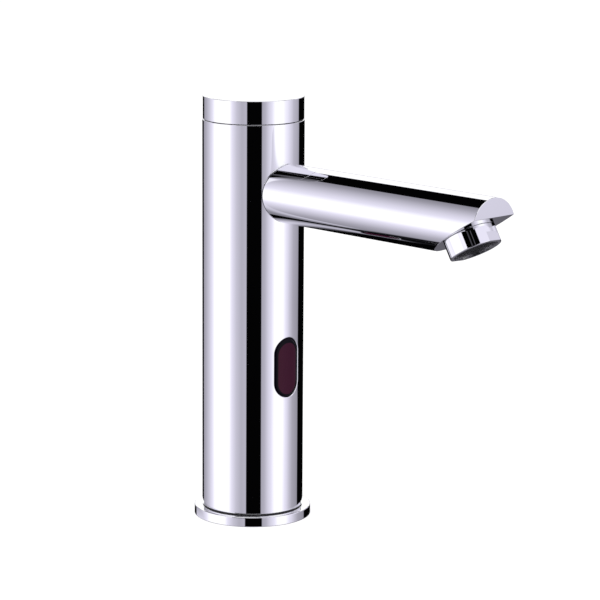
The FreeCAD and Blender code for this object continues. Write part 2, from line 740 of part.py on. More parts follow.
def riser_o_rings():
    """The two rings that seal the riser in its sockets."""
    radius = S.ringGrooveRadius + S.ringSection
    inset = S.ringInset + S.ringGrooveWidth / 2
    heights = (S.pipeBottom + inset, S.pipeTop - inset)
    rings = [
        ring(f"riser_o_ring_{end}", radius, S.ringSection, (0, S.inletOffset, height))
        for end, height in zip(("low", "high"), heights)
    ]
    return group(*rings)


# solenoid valve ---------------------------------------------------------------------------------

VALVE = (0, S.valveOffset, 0)


def screw_spots():
    """Places of the four bonnet screws."""
    return [
        (side * S.screwSpreadSide, S.valveOffset + back * S.screwSpreadBack)
        for side in (-1, 1) for back in (-1, 1)
    ]


def valve_body():
    """The valve block: feed, ring chamber, raised seat, cross channel and outlet socket."""
    height = S.valveTop - S.valveBottom
    block = cylinder(S.valveRadius, height, (0, 0, S.valveBottom))
    socket = cylinder(S.socketRadius, S.valveSocketTop - S.valveBottom, (0, S.inletOffset, S.valveBottom))
    feed = cylinder(S.valvePassage, S.valveRingFloor - S.valveBottom, (0, S.valvePassageOffset, S.valveBottom))
    chamber = turned("ring_chamber", [
        (0, S.valveSeatTop), (S.valveRingInner, S.valveSeatTop), (S.valveRingInner, S.valveRingFloor),
        (S.valveRingOuter, S.valveRingFloor), (S.valveRingOuter, S.valveRecessFloor),
        (S.valveRecess, S.valveRecessFloor), (S.valveRecess, S.valveTop + 1), (0, S.valveTop + 1),
    ], VALVE)
    bore = S.valveBore
    down = cylinder(bore, S.valveTop - S.valveChannel, (0, S.valveOffset, S.valveChannel))
    reach = S.valveOffset + S.outletOffset + 2 * bore
    across = cylinder(S.valveCross, reach, (0, S.valveOffset + bore, S.valveChannel), Y_FRONT)
    rise = cylinder(bore, height, (0, -S.outletOffset, S.valveChannel))
    outlet = cylinder(S.elbowRadius + S.fitGap, height, (0, -S.outletOffset, S.outletSocketFloor))
    depth = S.valveTop - S.screwBottom
    screws = [cylinder(S.screwRadius, depth, (x, y, S.screwBottom)) for x, y in screw_spots()]
    return cut(block, socket, feed, chamber, down, across, rise, outlet, *screws, lead_notch())


def lead_notch():
    """The upright notch in the valve's right side, where the coil's lead runs down."""
    corner = (S.leadNotchSide, S.valveOffset - S.leadNotchWidth / 2, S.valveBottom - 1)
    return box(DEPTH / 4, S.leadNotchWidth, DEPTH / 2, corner)


def sphere(radius, at):
    obj = DOC.addObject("Part::Sphere", "Sphere")
    bind(obj, "Radius", radius)
    return place(obj, at)


def diaphragm():
    """The rubber membrane, clamped by its bead and resting on the seat."""
    low = S.valveSeatTop + S.fitGap
    web = S.valveRecessFloor + S.fitGap
    pad, shoulder = S.membranePad, S.membranePad + S.edgeBreak
    return turned("diaphragm", [
        (S.membraneHole, low), (pad, low), (shoulder, web), (S.membraneRadius, web),
        (S.membraneRadius, S.valveTop), (S.membraneBead, S.valveTop), (S.membraneBead, S.membraneWebTop),
        (shoulder, S.membraneWebTop), (pad, S.membraneTop), (S.membraneHole, S.membraneTop),
    ], VALVE)


def diaphragm_plate():
    """The stiff disc on the membrane, with the raised pilot seat."""
    low = S.membraneTop + S.fitGap
    return turned("diaphragm_plate", [
        (S.pilotHole, low), (S.plateInsertRadius, low), (S.plateInsertRadius, low + S.plateInsertThickness),
        (S.pilotBoss, low + S.plateInsertThickness), (S.pilotBoss, S.pilotTop), (S.pilotHole, S.pilotTop),
    ], VALVE)


def valve_bonnet():
    """The bonnet: a flange over the membrane and the closed tube that guides the plunger."""
    low, top = S.valveTop, S.valveTop + S.bonnetThickness
    corner = (-S.bonnetWidth / 2, S.valveOffset - S.bonnetDepth / 2, low)
    slab = box(S.bonnetWidth, S.bonnetDepth, S.bonnetThickness, corner)
    flange = common(slab, cylinder(S.bonnetRadius, S.bonnetThickness, (0, 0, low)))
    tube = cylinder(S.guideRadius, S.guideTop - S.guideRoot, (0, S.valveOffset, S.guideRoot))
    tail = cylinder(S.tailRadius, S.tailTop - top, (0, S.valveOffset, top))
    cavity = cylinder(S.bonnetCavity, S.bonnetCavityTop - low, (0, S.valveOffset, low))
    bore = cylinder(S.guideBore, S.guideBoreTop - low, (0, S.valveOffset, low))
    holes = [cylinder(S.screwClearance, DEPTH, (x, y, low - 1)) for x, y in screw_spots()]
    return cut(fuse(flange, tube, tail), cavity, bore, lead_notch(), *holes)


def bonnet_screws():
    """Four pan-head screws through the bonnet."""
    head_at = S.valveTop + S.bonnetThickness
    screws = []
    for x, y in screw_spots():
        shank = cylinder(S.screwRadius, head_at - S.screwBottom, (x, y, S.screwBottom))
        head = cylinder(S.screwHeadRadius, S.screwHeadHeight, (x, y, head_at))
        socket = prism(S.screwSocket, S.screwHeadHeight, (x, y, head_at + S.screwHeadHeight / 2))
        screws.append(cut(fuse(shank, head), socket))
    return group(*screws)


def plunger():
    """The steel plunger, with a pocket for its spring and a hole for its rubber tip."""
    return turned("plunger", [
        (0, S.sealTop), (S.sealRadius, S.sealTop), (S.sealRadius, S.plungerBottom),
        (S.plungerRadius, S.plungerBottom), (S.plungerRadius, S.plungerTop), (S.plungerPocket, S.plungerTop),
        (S.plungerPocket, S.plungerPocketFloor), (0, S.plungerPocketFloor),
    ], VALVE)


def plunger_seal():
    """The rubber tip that closes the pilot hole."""
    low = S.pilotTop + S.fitGap
    return cylinder(S.sealRadius, S.sealTop - low, (0, S.valveOffset, low))


def plunger_spring():
    """The spring that closes the plunger."""
    return spring("plunger_spring", S.plungerSpringRadius, 5, S.plungerPocketFloor, S.guideBoreTop, VALVE)


def coil_bobbin():
    """The plastic bobbin."""
    low, high = S.coilBottom + S.yokeThickness, S.coilTop - S.yokeThickness
    inner_low, inner_high = low + S.bobbinFlangeThickness, high - S.bobbinFlangeThickness
    return turned("coil_bobbin", [
        (S.bobbinBore, low), (S.bobbinFlange, low), (S.bobbinFlange, inner_low), (S.bobbinCore, inner_low),
        (S.bobbinCore, inner_high), (S.bobbinFlange, inner_high), (S.bobbinFlange, high), (S.bobbinBore, high),
    ], VALVE)


def coil_tube(name, inner, outer):
    """A tube between the bobbin's flanges."""
    low = S.coilBottom + S.yokeThickness + S.bobbinFlangeThickness
    high = S.coilTop - S.yokeThickness - S.bobbinFlangeThickness
    return turned(name, [(inner, low), (outer, low), (outer, high), (inner, high)], VALVE)


def coil_winding():
    """The copper winding, as one block."""
    return coil_tube("coil_winding", S.bobbinCore, S.windingRadius)


def coil_jacket():
    """The moulded jacket round the winding, with the socket of the lead on its right."""
    start = S.windingRadius + S.edgeBreak
    corner = (start, S.valveOffset - S.plugWidth / 2, S.plugBottom)
    socket = box(S.plugSide - start, S.plugWidth, S.plugHeight, corner)
    return fuse(coil_tube("coil_jacket", S.windingRadius, S.jacketRadius), socket)


def coil_yoke():
    """The bent steel strip round the coil, bored for the plunger's tube."""
    strip, back, reach = S.yokeThickness, -S.yokeBack, S.yokeReach
    low, high = S.coilBottom, S.coilTop
    strap = extruded("coil_yoke", [
        (back, low), (reach, low), (reach, low + strip), (back + strip, low + strip),
        (back + strip, high - strip), (reach, high - strip), (reach, high), (back, high),
    ], S.yokeWidth, VALVE, "XZ_Plane")
    hole = cylinder(S.bobbinBore, DEPTH, (0, S.valveOffset, S.coilBottom - 1))
    return cut(strap, hole)


def coil_nut():
    """The nut that holds the coil on its tube."""
    at = (0, S.valveOffset, S.coilTop)
    hexagon = prism(S.nutFlats / math.cos(math.radians(30)), S.nutThickness, at)
    return cut(hexagon, cylinder(S.tailRadius + S.fitGap, S.nutThickness, at))


# outlet pipe and spout --------------------------------------------------------------------------


def bend_quarter(section):
    """A quarter bend from rising along Z to running along -Y."""
    obj = DOC.addObject("Part::Torus", "Bend")
    bind(obj, "Radius1", S.elbowBend)
    bind(obj, "Radius2", section)
    obj.Angle3 = 90
    # the torus lies in the YZ plane, with its quarter turned up and to the front
    turn = Rotation(Vector(0, 1, 0), Vector(0, 0, 1), Vector(1, 0, 0), "ZXY")
    return place(obj, (0, -S.outletOffset - S.elbowBend, S.spoutHeight - S.elbowBend), turn)


def elbow_run(radius, start, end):
    """The pipe's outer or inner form: up from the valve, round the bend and forward."""
    bend_start = S.spoutHeight - S.elbowBend
    upright = cylinder(radius, bend_start - start, (0, -S.outletOffset, start))
    front = S.outletOffset + S.elbowBend
    level = cylinder(radius, end - front, (0, -front, S.spoutHeight), Y_FRONT)
    return fuse(upright, bend_quarter(radius), level)


def outlet_elbow():
    """The pipe from the valve to the spout, with a plug and its ring groove on the front end."""
    start = S.outletSocketFloor + S.edgeBreak
    plug_start = S.outletOffset + S.elbowBend
    plug = cylinder(S.plugRadius, S.plugEnd - plug_start, (0, -plug_start, S.spoutHeight), Y_FRONT)
    half = S.ringGrooveWidth / 2
    groove = cut(
        cylinder(S.plugRadius + 1, 2 * half, (0, half - S.plugGrooveAt, S.spoutHeight), Y_FRONT),
        cylinder(S.plugGroove, DEPTH, (0, 0, S.spoutHeight), Y_FRONT),
    )
    outside = fuse(elbow_run(S.elbowRadius, start, S.plugEnd), plug)
    return cut(outside, groove, elbow_run(S.elbowBore, start, S.plugEnd))


def spout_o_ring():
    """The ring on the outlet pipe's plug."""
    radius = S.plugGroove + S.ringSection
    return ring("spout_o_ring", radius, S.ringSection, (0, -S.plugGrooveAt, S.spoutHeight), Y_FRONT)


def spout():
    """The spout: a round tube saddled to the column, with a mitred tip bored for the aerator."""
    at = (0, 0, S.spoutHeight)
    blank = cylinder(S.spoutRadius, S.spoutReach, at, Y_FRONT)

    def end_edge(edge):
        return edge.BoundBox.YMax < -S.spoutReach.value + 1e-6

    outside = rounded(blank, S.spoutRound, end_edge)
    saddle = cylinder(S.bodyRadius + S.partingGap, DEPTH, (0, 0, S.spoutHeight - DEPTH / 2))
    mitre = tip_place(cylinder(DEPTH, DEPTH), S.seatDepth)
    shaped = cut(outside, saddle, mitre)
    spigot_length = S.spoutBoreStart - S.spigotEnd
    spigot = cylinder(S.spigotRadius, spigot_length, (0, -S.spigotEnd, S.spoutHeight), Y_FRONT)
    inner = [
        cylinder(S.spigotBore, S.spoutBoreStart, at, Y_FRONT),
        cylinder(S.spoutBore, S.spoutBoreEnd - S.spoutBoreStart, (0, -S.spoutBoreStart, S.spoutHeight), Y_FRONT),
        cylinder(S.tipPassage, S.tipPassageEnd - S.spoutBoreEnd, (0, -S.spoutBoreEnd, S.spoutHeight), Y_FRONT),
        tip_place(cylinder(S.seatRadius, DEPTH / 4)),
    ]
    return cut(fuse(shaped, spigot), *inner)


def spout_saddle_washer():
    """The spacer between the column's round bore and the flat nut."""
    length = S.bodyRadius - S.saddleFace
    disc = cylinder(S.saddleRadius, length, (0, -S.saddleFace, S.spoutHeight), Y_FRONT)
    bore = cylinder(BORE, DEPTH, (0, 0, S.spoutHeight - DEPTH / 2))
    hole = cylinder(S.spigotHole, DEPTH, (0, 0, S.spoutHeight), Y_FRONT)
    return cut(common(disc, bore), hole)


def spout_nut():
    """The slotted nut that pulls the spout against the column."""
    thickness = S.saddleFace - S.spigotEnd
    at = (0, -S.spigotEnd, S.spoutHeight)
    disc = cylinder(S.saddleRadius, thickness, at, Y_FRONT)
    hole = cylinder(S.spigotHole, DEPTH, (0, 0, S.spoutHeight), Y_FRONT)
    half, depth = S.nutSlot / 2, S.nutSlotDepth
    slots = [
        box(S.saddleRadius * 2, thickness, S.nutSlot, (-S.saddleRadius, -S.spigotEnd - depth, S.spoutHeight - half)),
        box(S.nutSlot, thickness, S.saddleRadius * 2, (-half, -S.spigotEnd - depth, S.spoutHeight - S.saddleRadius)),
    ]
    return cut(disc, hole, *slots)


# aerator, drawn standing on its own Z axis from the far end of its seat ----------------------------

WASHER_END = S.fitGap + S.washerThickness
HOUSING_START = WASHER_END + S.fitGap
COLLAR_START = S.seatDepth + S.fitGap
RIM = S.seatDepth + S.collarLength
INSERT_SHOULDER = COLLAR_START + S.washerThickness


def aerator_washer():
    """The flat rubber washer at the far end of the seat."""
    return tip_place(turned("aerator_washer", [
        (S.washerInner, S.fitGap), (S.washerOuter, S.fitGap), (S.washerOuter, WASHER_END),
        (S.washerInner, WASHER_END),
    ]))


def aerator_housing():
    """The threaded sleeve with its chromed collar and two spanner flats."""
    bevel, rim = S.edgeBreak, RIM
    sleeve = turned("aerator_housing", [
        (S.insertNeck + S.fitGap, HOUSING_START), (S.threadRadius, HOUSING_START),
        (S.threadRadius, COLLAR_START), (S.collarRadius - bevel / 2, COLLAR_START),
        (S.collarRadius, COLLAR_START + bevel / 2), (S.collarRadius, rim - bevel),
        (S.collarRadius - bevel, rim), (S.mouthRadius, rim), (S.mouthRadius, INSERT_SHOULDER),
        (S.insertNeck + S.fitGap, INSERT_SHOULDER),
    ])
    flat_start = rim - S.collarFlatLength
    flats = []
    for half_turn in (0, 180):
        slab = box(S.collarRadius * 2, S.collarRadius, S.collarLength)
        turn = Rotation(Vector(0, 0, 1), half_turn - S.collarFlatTurn.value)
        corner = turn.multVec(Vector(-S.collarRadius.value, S.collarFlats.value, flat_start.value))
        flats.append(place(slab, tuple(corner), turn))
    return tip_place(cut(sleeve, *flats))


def aerator_insert():
    """The plastic insert: a mixing chamber over a honeycomb that straightens the stream."""
    face = RIM - S.insertRecess
    outer = S.mouthRadius - S.fitGap
    start = HOUSING_START + S.strainerThickness
    grid = face - S.insertGrid
    shoulder = INSERT_SHOULDER + S.fitGap
    plug = turned("aerator_insert", [
        (0, grid), (S.insertChamber, grid), (S.insertChamber, start), (S.insertNeck, start),
        (S.insertNeck, shoulder), (outer, shoulder), (outer, face), (0, face),
    ])
    return tip_place(cut(plug, honeycomb(S.cellRadius, S.insertGrid + 2, grid - 1)))


def aerator_strainer():
    """The fine sieve in the mouth of the sleeve."""
    disc = cylinder(S.insertNeck, S.strainerThickness, (0, 0, HOUSING_START))
    return tip_place(cut(disc, honeycomb(S.sieveRadius, S.strainerThickness + 2, HOUSING_START - 1)))


# sensor -----------------------------------------------------------------------------------------


def sensor_window():
    """The dark window: a round-ended lens that follows the column, and its flange inside."""
    width, length = S.windowWidth - 4 * S.fitGap, S.windowLength - 4 * S.fitGap
    lens = stadium(width, length, S.bodyRadius - S.windowBack, S.bodyRadius, S.windowHeight)
    follow = cylinder(S.bodyRadius - S.windowRecess, DEPTH, (0, 0, S.windowHeight - DEPTH / 2))
    flange = stadium(
        S.windowWidth + 2 * S.windowFlange, S.windowLength + 2 * S.windowFlange,
        S.windowFlangeFront - S.windowBack, S.windowFlangeFront, S.windowHeight,
    )
    return fuse(common(lens, follow), flange)


def sensor_gasket():
    """The moulded rubber between the window's flange and the column's round bore."""
    depth = BORE - S.windowFlangeFront
    outside = stadium(
        S.windowWidth + 2 * S.windowFlange, S.windowLength + 2 * S.windowFlange, depth, BORE, S.windowHeight,
    )
    inside = stadium(S.windowWidth, S.windowLength, DEPTH / 2, DEPTH / 2, S.windowHeight)
    bore = cylinder(BORE, DEPTH, (0, 0, S.windowHeight - DEPTH / 2))
    return cut(common(outside, bore), inside)


def diode_heights():
    """Heights of the emitter and the receiver."""
    return [S.windowHeight + side * S.diodeSpacing / 2 for side in (1, -1)]


def sensor_housing():
    """The black box behind the window, open at the back, with two diode holes in its front."""
    depth = S.sensorFront - S.sensorBack
    low = S.windowHeight - S.sensorLength / 2
    case = box(S.sensorWidth, depth, S.sensorLength, (-S.sensorWidth / 2, -S.sensorFront, low))
    wall = S.sensorWall
    room = box(
        S.sensorWidth - 2 * wall, depth, S.sensorLength - 2 * wall,
        (wall - S.sensorWidth / 2, S.sensorFloor - S.sensorFront, low + wall),
    )
    holes = [cylinder(S.diodeRadius + S.fitGap, DEPTH / 2, (0, 0, z), Y_FRONT) for z in diode_heights()]
    return cut(case, room, *holes)


def diode(height):
    """A round-nosed diode whose flange sits on the circuit board."""
    nose = S.diodeLength - S.diodeRadius
    back = S.sensorBack + S.boardThickness
    barrel = cylinder(S.diodeRadius, nose, (0, -back, height), Y_FRONT)
    dome = sphere(S.diodeRadius, (0, -(back + nose), height))
    return fuse(barrel, dome)


def sensor_board():
    """The circuit board in the back of the housing."""
    width = S.sensorWidth - 2 * S.sensorWall - 4 * S.fitGap
    length = S.sensorLength - 2 * S.sensorWall - 4 * S.fitGap
    corner = (-width / 2, -S.sensorBack - S.boardThickness, S.windowHeight - length / 2)
    return box(width, S.boardThickness, length, corner)


def sensor_clip():
    """The spring strip that runs round the column's bore and pushes the housing forward."""
    outer, inner, low = S.clipOuter, S.clipOuter - S.clipStrip, S.windowHeight - S.clipHeight / 2
    hoop = cut(cylinder(outer, S.clipHeight, (0, 0, low)), cylinder(inner, S.clipHeight, (0, 0, low)))
    opening = box(2 * outer, 2 * outer, S.clipHeight, (-outer, -2 * outer - S.sensorBack, low))
    reach = Size(math.sqrt(inner.value ** 2 - S.sensorBack.value ** 2),
                 f"sqrt({inner.text} ^ 2 - {S.sensorBack.text} ^ 2)")
    leg = reach + S.clipStrip / 2 - S.clipLeg
    legs = [
        box(leg, S.clipStrip, S.clipHeight, (x, -S.sensorBack, low))
        for x in (S.clipLeg, -S.clipLeg - leg)
    ]
    return fuse(cut(hoop, opening), *legs)


# free way of the coil's lead between the valve's side and the board
LEAD_WAY = (Vector(12.6, 5.0, 89.5), Vector(9.6, 1.0, 83.6))


def coil_lead():
    """The lead from the coil's socket down to the circuit board."""
    side, back = S.leadSide.value, S.valveOffset.value
    board_side, board_height = S.leadBoardSide.value, S.leadBoardHeight.value
    points = [
        Vector(side, back, S.plugBottom.value), Vector(side, back, S.leadDrop.value), *LEAD_WAY,
        Vector(board_side, -2.6, board_height), Vector(board_side, -S.sensorBack.value, board_height),
    ]
    return routed("coil_lead", points, S.leadRadius.value)


BUILDERS = [
    base_plate, base_gasket, body_shell, body_grub_screws, top_cap, cap_o_ring,
    inlet_block, cable_gland, inlet_strainer, check_valve_housing, check_valve_poppet,
    check_valve_spring, riser_pipe, riser_o_rings,
    valve_body, diaphragm, diaphragm_plate, valve_bonnet, bonnet_screws, plunger, plunger_seal,
    plunger_spring, coil_bobbin, coil_winding, coil_jacket, coil_yoke, coil_nut,
    outlet_elbow, spout_o_ring, spout, spout_saddle_washer, spout_nut,
    aerator_washer, aerator_housing, aerator_insert, aerator_strainer,
    sensor_window, sensor_gasket, sensor_housing, sensor_board, sensor_clip, coil_lead,
]

for builder in BUILDERS:
    node(builder.__name__, builder())
for diode_name, diode_height in zip(("ir_emitter", "ir_receiver"), diode_heights()):
    node(diode_name, diode(diode_height))

DOC.recompute()
for item in DOC.Objects:
    if {"Invalid", "Error"} & set(item.State):
        raise RuntimeError(f"{item.Label} failed: {item.State}")
for part in PARTS:
    if part.Shape.isNull() or not part.Shape.isValid() or not part.Shape.Solids:
        raise RuntimeError(f"{part.Label} has no valid solid")

os.makedirs("parts", exist_ok=True)
for part in PARTS:
    part.Shape.exportStep(f"parts/{part.Label}.step")
    print(part.Label, len(part.Shape.Solids), round(part.Shape.Volume, 1), "mm3")
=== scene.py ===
"""Sensor tap: fine pieces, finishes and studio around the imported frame.

Lengths are in millimetres in the classes and become metres where a mesh is built. The tap stands on the
deck at z = 0, its column on the Z axis and its spout towards -Y.
"""

from __future__ import annotations

import json
import logging
import math
from collections.abc import Callable, Sequence
from dataclasses import dataclass, field
from enum import Enum

import bpy
import numpy as np
from mathutils import Matrix, Vector
from mathutils.geometry import delaunay_2d_cdt

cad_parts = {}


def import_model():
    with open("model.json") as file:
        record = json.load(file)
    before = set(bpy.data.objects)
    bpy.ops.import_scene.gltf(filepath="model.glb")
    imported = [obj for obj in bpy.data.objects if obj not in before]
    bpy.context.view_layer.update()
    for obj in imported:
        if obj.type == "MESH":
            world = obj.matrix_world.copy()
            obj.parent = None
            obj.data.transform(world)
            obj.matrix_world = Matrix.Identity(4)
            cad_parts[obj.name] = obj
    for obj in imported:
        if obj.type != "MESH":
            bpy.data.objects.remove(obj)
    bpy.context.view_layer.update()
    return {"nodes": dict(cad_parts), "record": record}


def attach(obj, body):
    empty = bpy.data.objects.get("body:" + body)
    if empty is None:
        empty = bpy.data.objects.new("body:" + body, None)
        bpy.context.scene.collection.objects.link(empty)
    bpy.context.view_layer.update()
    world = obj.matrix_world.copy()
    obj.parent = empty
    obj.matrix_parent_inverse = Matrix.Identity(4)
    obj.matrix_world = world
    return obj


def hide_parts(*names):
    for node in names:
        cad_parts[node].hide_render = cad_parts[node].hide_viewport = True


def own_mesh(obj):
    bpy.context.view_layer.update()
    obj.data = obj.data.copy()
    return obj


LOG = logging.getLogger("sensor_tap")
MM = 0.001
FULL_TURN = 2 * math.pi
TINY = 1e-6
JOIN_DECIMALS = 4
FINE_EDGE = 0.1
SMALL_EDGE = 0.2
ROUND_SIDES = 144
THREAD_STEEPNESS = 1.7
INLET_MIDDLE = (0.0, 11.0)
VALVE_MIDDLE = (0.0, 6.5)

Point2 = tuple[float, float]
Point3 = tuple[float, float, float]
Colour = Point3


# shader helpers ---------------------------------------------------------------------------------


class Wire:
    """A number that varies over a surface: an output socket that takes part in arithmetic."""

    def __init__(self, recipe: Recipe, socket: bpy.types.NodeSocket) -> None:
        """Keep an output socket and the recipe that new nodes go into."""
        self.recipe = recipe
        self.socket = socket

    def maths(self, operation: str, *others: float | Wire, first: float | None = None) -> Wire:
        """Return a Math node's result on this wire and others, or on a first number and this wire."""
        operands: list[float | Wire] = [self, *others] if first is None else [first, self]
        return self.recipe.node("ShaderNodeMath", {"operation": operation}, dict(enumerate(operands)))

    def __add__(self, other: float | Wire) -> Wire:
        """Return the sum."""
        return self.maths("ADD", other)

    __radd__ = __add__

    def __sub__(self, other: float | Wire) -> Wire:
        """Return the difference."""
        return self.maths("SUBTRACT", other)

    def __rsub__(self, other: float) -> Wire:
        """Return a number less this wire."""
        return self.maths("SUBTRACT", first=other)

    def __mul__(self, other: float | Wire) -> Wire:
        """Return the product."""
        return self.maths("MULTIPLY", other)

    __rmul__ = __mul__

    def __truediv__(self, other: float | Wire) -> Wire:
        """Return the quotient."""
        return self.maths("DIVIDE", other)

    def __gt__(self, other: float | Wire) -> Wire:
        """Return 1 where this wire is the larger, else 0."""
        return self.maths("GREATER_THAN", other)

    def __lt__(self, other: float | Wire) -> Wire:
        """Return 1 where this wire is the smaller, else 0."""
        return self.maths("LESS_THAN", other)

    def __abs__(self) -> Wire:
        """Return the size without the sign."""
        return self.maths("ABSOLUTE")

    def held(self) -> Wire:
        """Return this wire held between 0 and 1."""
        return self.maths("MAXIMUM", 0.0).maths("MINIMUM", 1.0)

    def step(self, low: float, high: float) -> Wire:
        """Return 0 at low and 1 at high, with a smooth change between them.

        Args:
            low: where it is 0.
            high: where it is 1.

        Returns:
            The change.
        """
        return self.recipe.node(
            "ShaderNodeMapRange",
            {"interpolation_type": "SMOOTHSTEP"},
            {"Value": self, "From Min": low, "From Max": high},
        )

    def ramp(self, low: float, high: float) -> Wire:
        """Return 0 at low and 1 at high, with a straight change between them."""
        return ((self - low) / (high - low)).held()

    def across(self, stops: Sequence[float]) -> Wire:
        """Return a smooth rise between two stops, and if there are four, a fall between the last two."""
        rise = self.step(*stops[:2])
        return rise * (1 - self.step(*stops[2:])) if len(stops) > 2 else rise


class Recipe:
    """Builds one node tree."""

    def __init__(self, tree: bpy.types.NodeTree) -> None:
        """Keep a material's or world's node tree, and empty it."""
        self.tree = tree
        tree.nodes.clear()

    def node(
        self,
        kind: str,
        settings: dict[str, object] | None = None,
        inputs: dict[str | int, object] | None = None,
        output: str | int = 0,
    ) -> Wire:
        """Add a node.

        Args:
            kind: the node's type.
            settings: its properties, and "stops" for a ramp's positions and colours; set first.
            inputs: values or wires for its sockets, by name or number.
            output: the socket to return.

        Returns:
            The chosen output.
        """
        made = self.tree.nodes.new(kind)
        for name, value in (settings or {}).items():
            if name == "stops":
                self._fill_ramp(made.color_ramp, value)
            else:
                setattr(made, name, value)
        for name, value in (inputs or {}).items():
            socket = made.inputs[name]
            if isinstance(value, Wire):
                self.tree.links.new(value.socket, socket)
            elif socket.type == "RGBA" and len(value) == 3:
                socket.default_value = (*value, 1)
            else:
                socket.default_value = value
        return Wire(self, made.outputs[output] if made.outputs else None)

    @staticmethod
    def _fill_ramp(ramp: bpy.types.ColorRamp, stops: Sequence[tuple[float, Colour]]) -> None:
        """Give a colour ramp its stops.

        Args:
            ramp: the ramp.
            stops: its positions and colours.
        """
        while len(ramp.elements) > 1:
            ramp.elements.remove(ramp.elements[-1])
        for number, (place, colour) in enumerate(stops):
            element = ramp.elements[0] if number == 0 else ramp.elements.new(place)
            element.position = place
            element.color = (*colour, 1)

    def where(self) -> Wire:
        """Return the point on the piece, in metres."""
        return self.node("ShaderNodeTexCoord", output="Object")

    def noise(self, scale: float, detail: float = 2.0, roughness: float = 0.5) -> Wire:
        """Return cloudy noise about 0.5, with scale in blotches per metre.

        Args:
            scale: blotches in a metre.
            detail: how many finer layers it has.
            roughness: how strong they are.

        Returns:
            The noise.
        """
        return self.node(
            "ShaderNodeTexNoise", None,
            {"Vector": self.where(), "Scale": scale, "Detail": detail, "Roughness": roughness},
        )

    def axis(self, vector: Wire, name: str) -> Wire:
        """Return a vector's X, Y or Z."""
        return self.node("ShaderNodeSeparateXYZ", None, {0: vector}, output=name)

    def blend(self, mask: Wire, colour: Colour | Wire, other: Colour | Wire) -> Wire:
        """Return colour where the mask is 0 and other where it is 1.

        Args:
            mask: what mixes them.
            colour: the first colour.
            other: the second one.

        Returns:
            The mix.
        """
        return self.node(
            "ShaderNodeMix", {"data_type": "RGBA"}, {"Factor": mask, 6: colour, 7: other}, output=2
        )

    def bump(self, height: Wire, distance: float) -> Wire:
        """Return a normal that follows a height, with distance in metres at height 1."""
        return self.node("ShaderNodeBump", None, {"Height": height, "Distance": distance})

    def ridges(self, pitch: float, wander: float | Wire = 0.0) -> Wire:
        """Return level ridges up the piece, from 0 to 1, with pitch in metres and wander in radians."""
        height = self.axis(self.where(), "Z")
        return (height * (FULL_TURN / pitch) + wander).maths("SINE") * 0.5 + 0.5


# finishes ---------------------------------------------------------------------------------------


@dataclass(frozen=True)
class Finish:
    """A finish of the tap: its sockets' plain values, and what varies over the surface.

    The cloud is blotches in a metre, the tone the colour's brightness where the cloud is thick (in the
    winding, in its painted shade between turns), and every pitch and depth is in metres.
    """

    name: str
    colour: Colour
    metallic: float = 0.0
    roughness: float = 0.4
    fixed: dict[str, object] = field(default_factory=dict)
    cloud: float = 900.0
    tone: float = 1.0

    def varied(self, recipe: Recipe) -> dict[str, Wire]:
        """Return what changes over the surface, as wires for the shader's sockets."""
        return {"Roughness": self.roughness * (0.85 + 0.3 * recipe.noise(self.cloud))}

    def toned(self, mask: Wire) -> Wire:
        """Return the colour, with its tone where the mask is 1."""
        return mask.recipe.blend(mask, self.colour, tuple(self.tone * part for part in self.colour))

    def material(self) -> bpy.types.Material:
        """Return the finish's material.

        Returns:
            The material, which is made once.
        """
        title = f"{self.name}_finish"
        made = bpy.data.materials.get(title)
        if made is None:
            made = bpy.data.materials.new(title)
            made.use_nodes = True
            recipe = Recipe(made.node_tree)
            inputs = {
                "Base Color": self.colour, "Metallic": self.metallic, "Roughness": self.roughness,
                **self.fixed, **self.varied(recipe),
            }
            shader = recipe.node("ShaderNodeBsdfPrincipled", None, inputs)
            recipe.node("ShaderNodeOutputMaterial", None, {"Surface": shader})
        return made


@dataclass(frozen=True)
class Chrome(Finish):
    """Polished chrome plate, with the faint cloud that polishing leaves in the gloss."""

    cloud: float = 35.0
    tone: float = 0.975
    fine_cloud: float = 2500.0

    def varied(self, recipe: Recipe) -> dict[str, Wire]:
        """Return the gloss and the faintest tone of the plate.

        Args:
            recipe: the material's node tree.

        Returns:
            Wires for the shader's sockets.
        """
        cloud = recipe.noise(self.cloud, 3)
        gloss = 0.7 + 0.4 * cloud + 0.2 * recipe.noise(self.fine_cloud)
        return {"Roughness": self.roughness * gloss, "Base Color": self.toned(cloud)}


@dataclass(frozen=True)
class Turned(Finish):
    """A machined metal with fine turning marks round the upright axis."""

    cloud: float = 180.0
    tone: float = 0.8
    pitch: float = 0.00025
    depth: float = 0.000004
    wander: float = 300.0

    def varied(self, recipe: Recipe) -> dict[str, Wire]:
        """Return turning marks and blotches of tone.

        Args:
            recipe: the material's node tree.

        Returns:
            Wires for the shader's sockets.
        """
        marks = recipe.ridges(self.pitch, 2 * recipe.noise(self.wander))
        cloud = recipe.noise(self.cloud, 4)
        return {
            "Base Color": self.toned(cloud),
            "Roughness": self.roughness * (0.75 + 0.3 * cloud + 0.2 * marks),
            "Normal": recipe.bump(marks, self.depth),
        }


@dataclass(frozen=True)
class Moulded(Finish):
    """A moulded plastic or rubber with a fine eroded grain."""

    cloud: float = 120.0
    tone: float = 0.85
    depth: float = 0.000015
    grains: float = 3500.0

    def varied(self, recipe: Recipe) -> dict[str, Wire]:
        """Return the grain and a slight unevenness of tone.

        Args:
            recipe: the material's node tree.

        Returns:
            Wires for the shader's sockets.
        """
        grain = recipe.noise(self.grains, 4, 0.6)
        return {
            "Base Color": self.toned(recipe.noise(self.cloud, 3)),
            "Roughness": self.roughness * (0.8 + 0.4 * grain),
            "Normal": recipe.bump(grain, self.depth),
        }


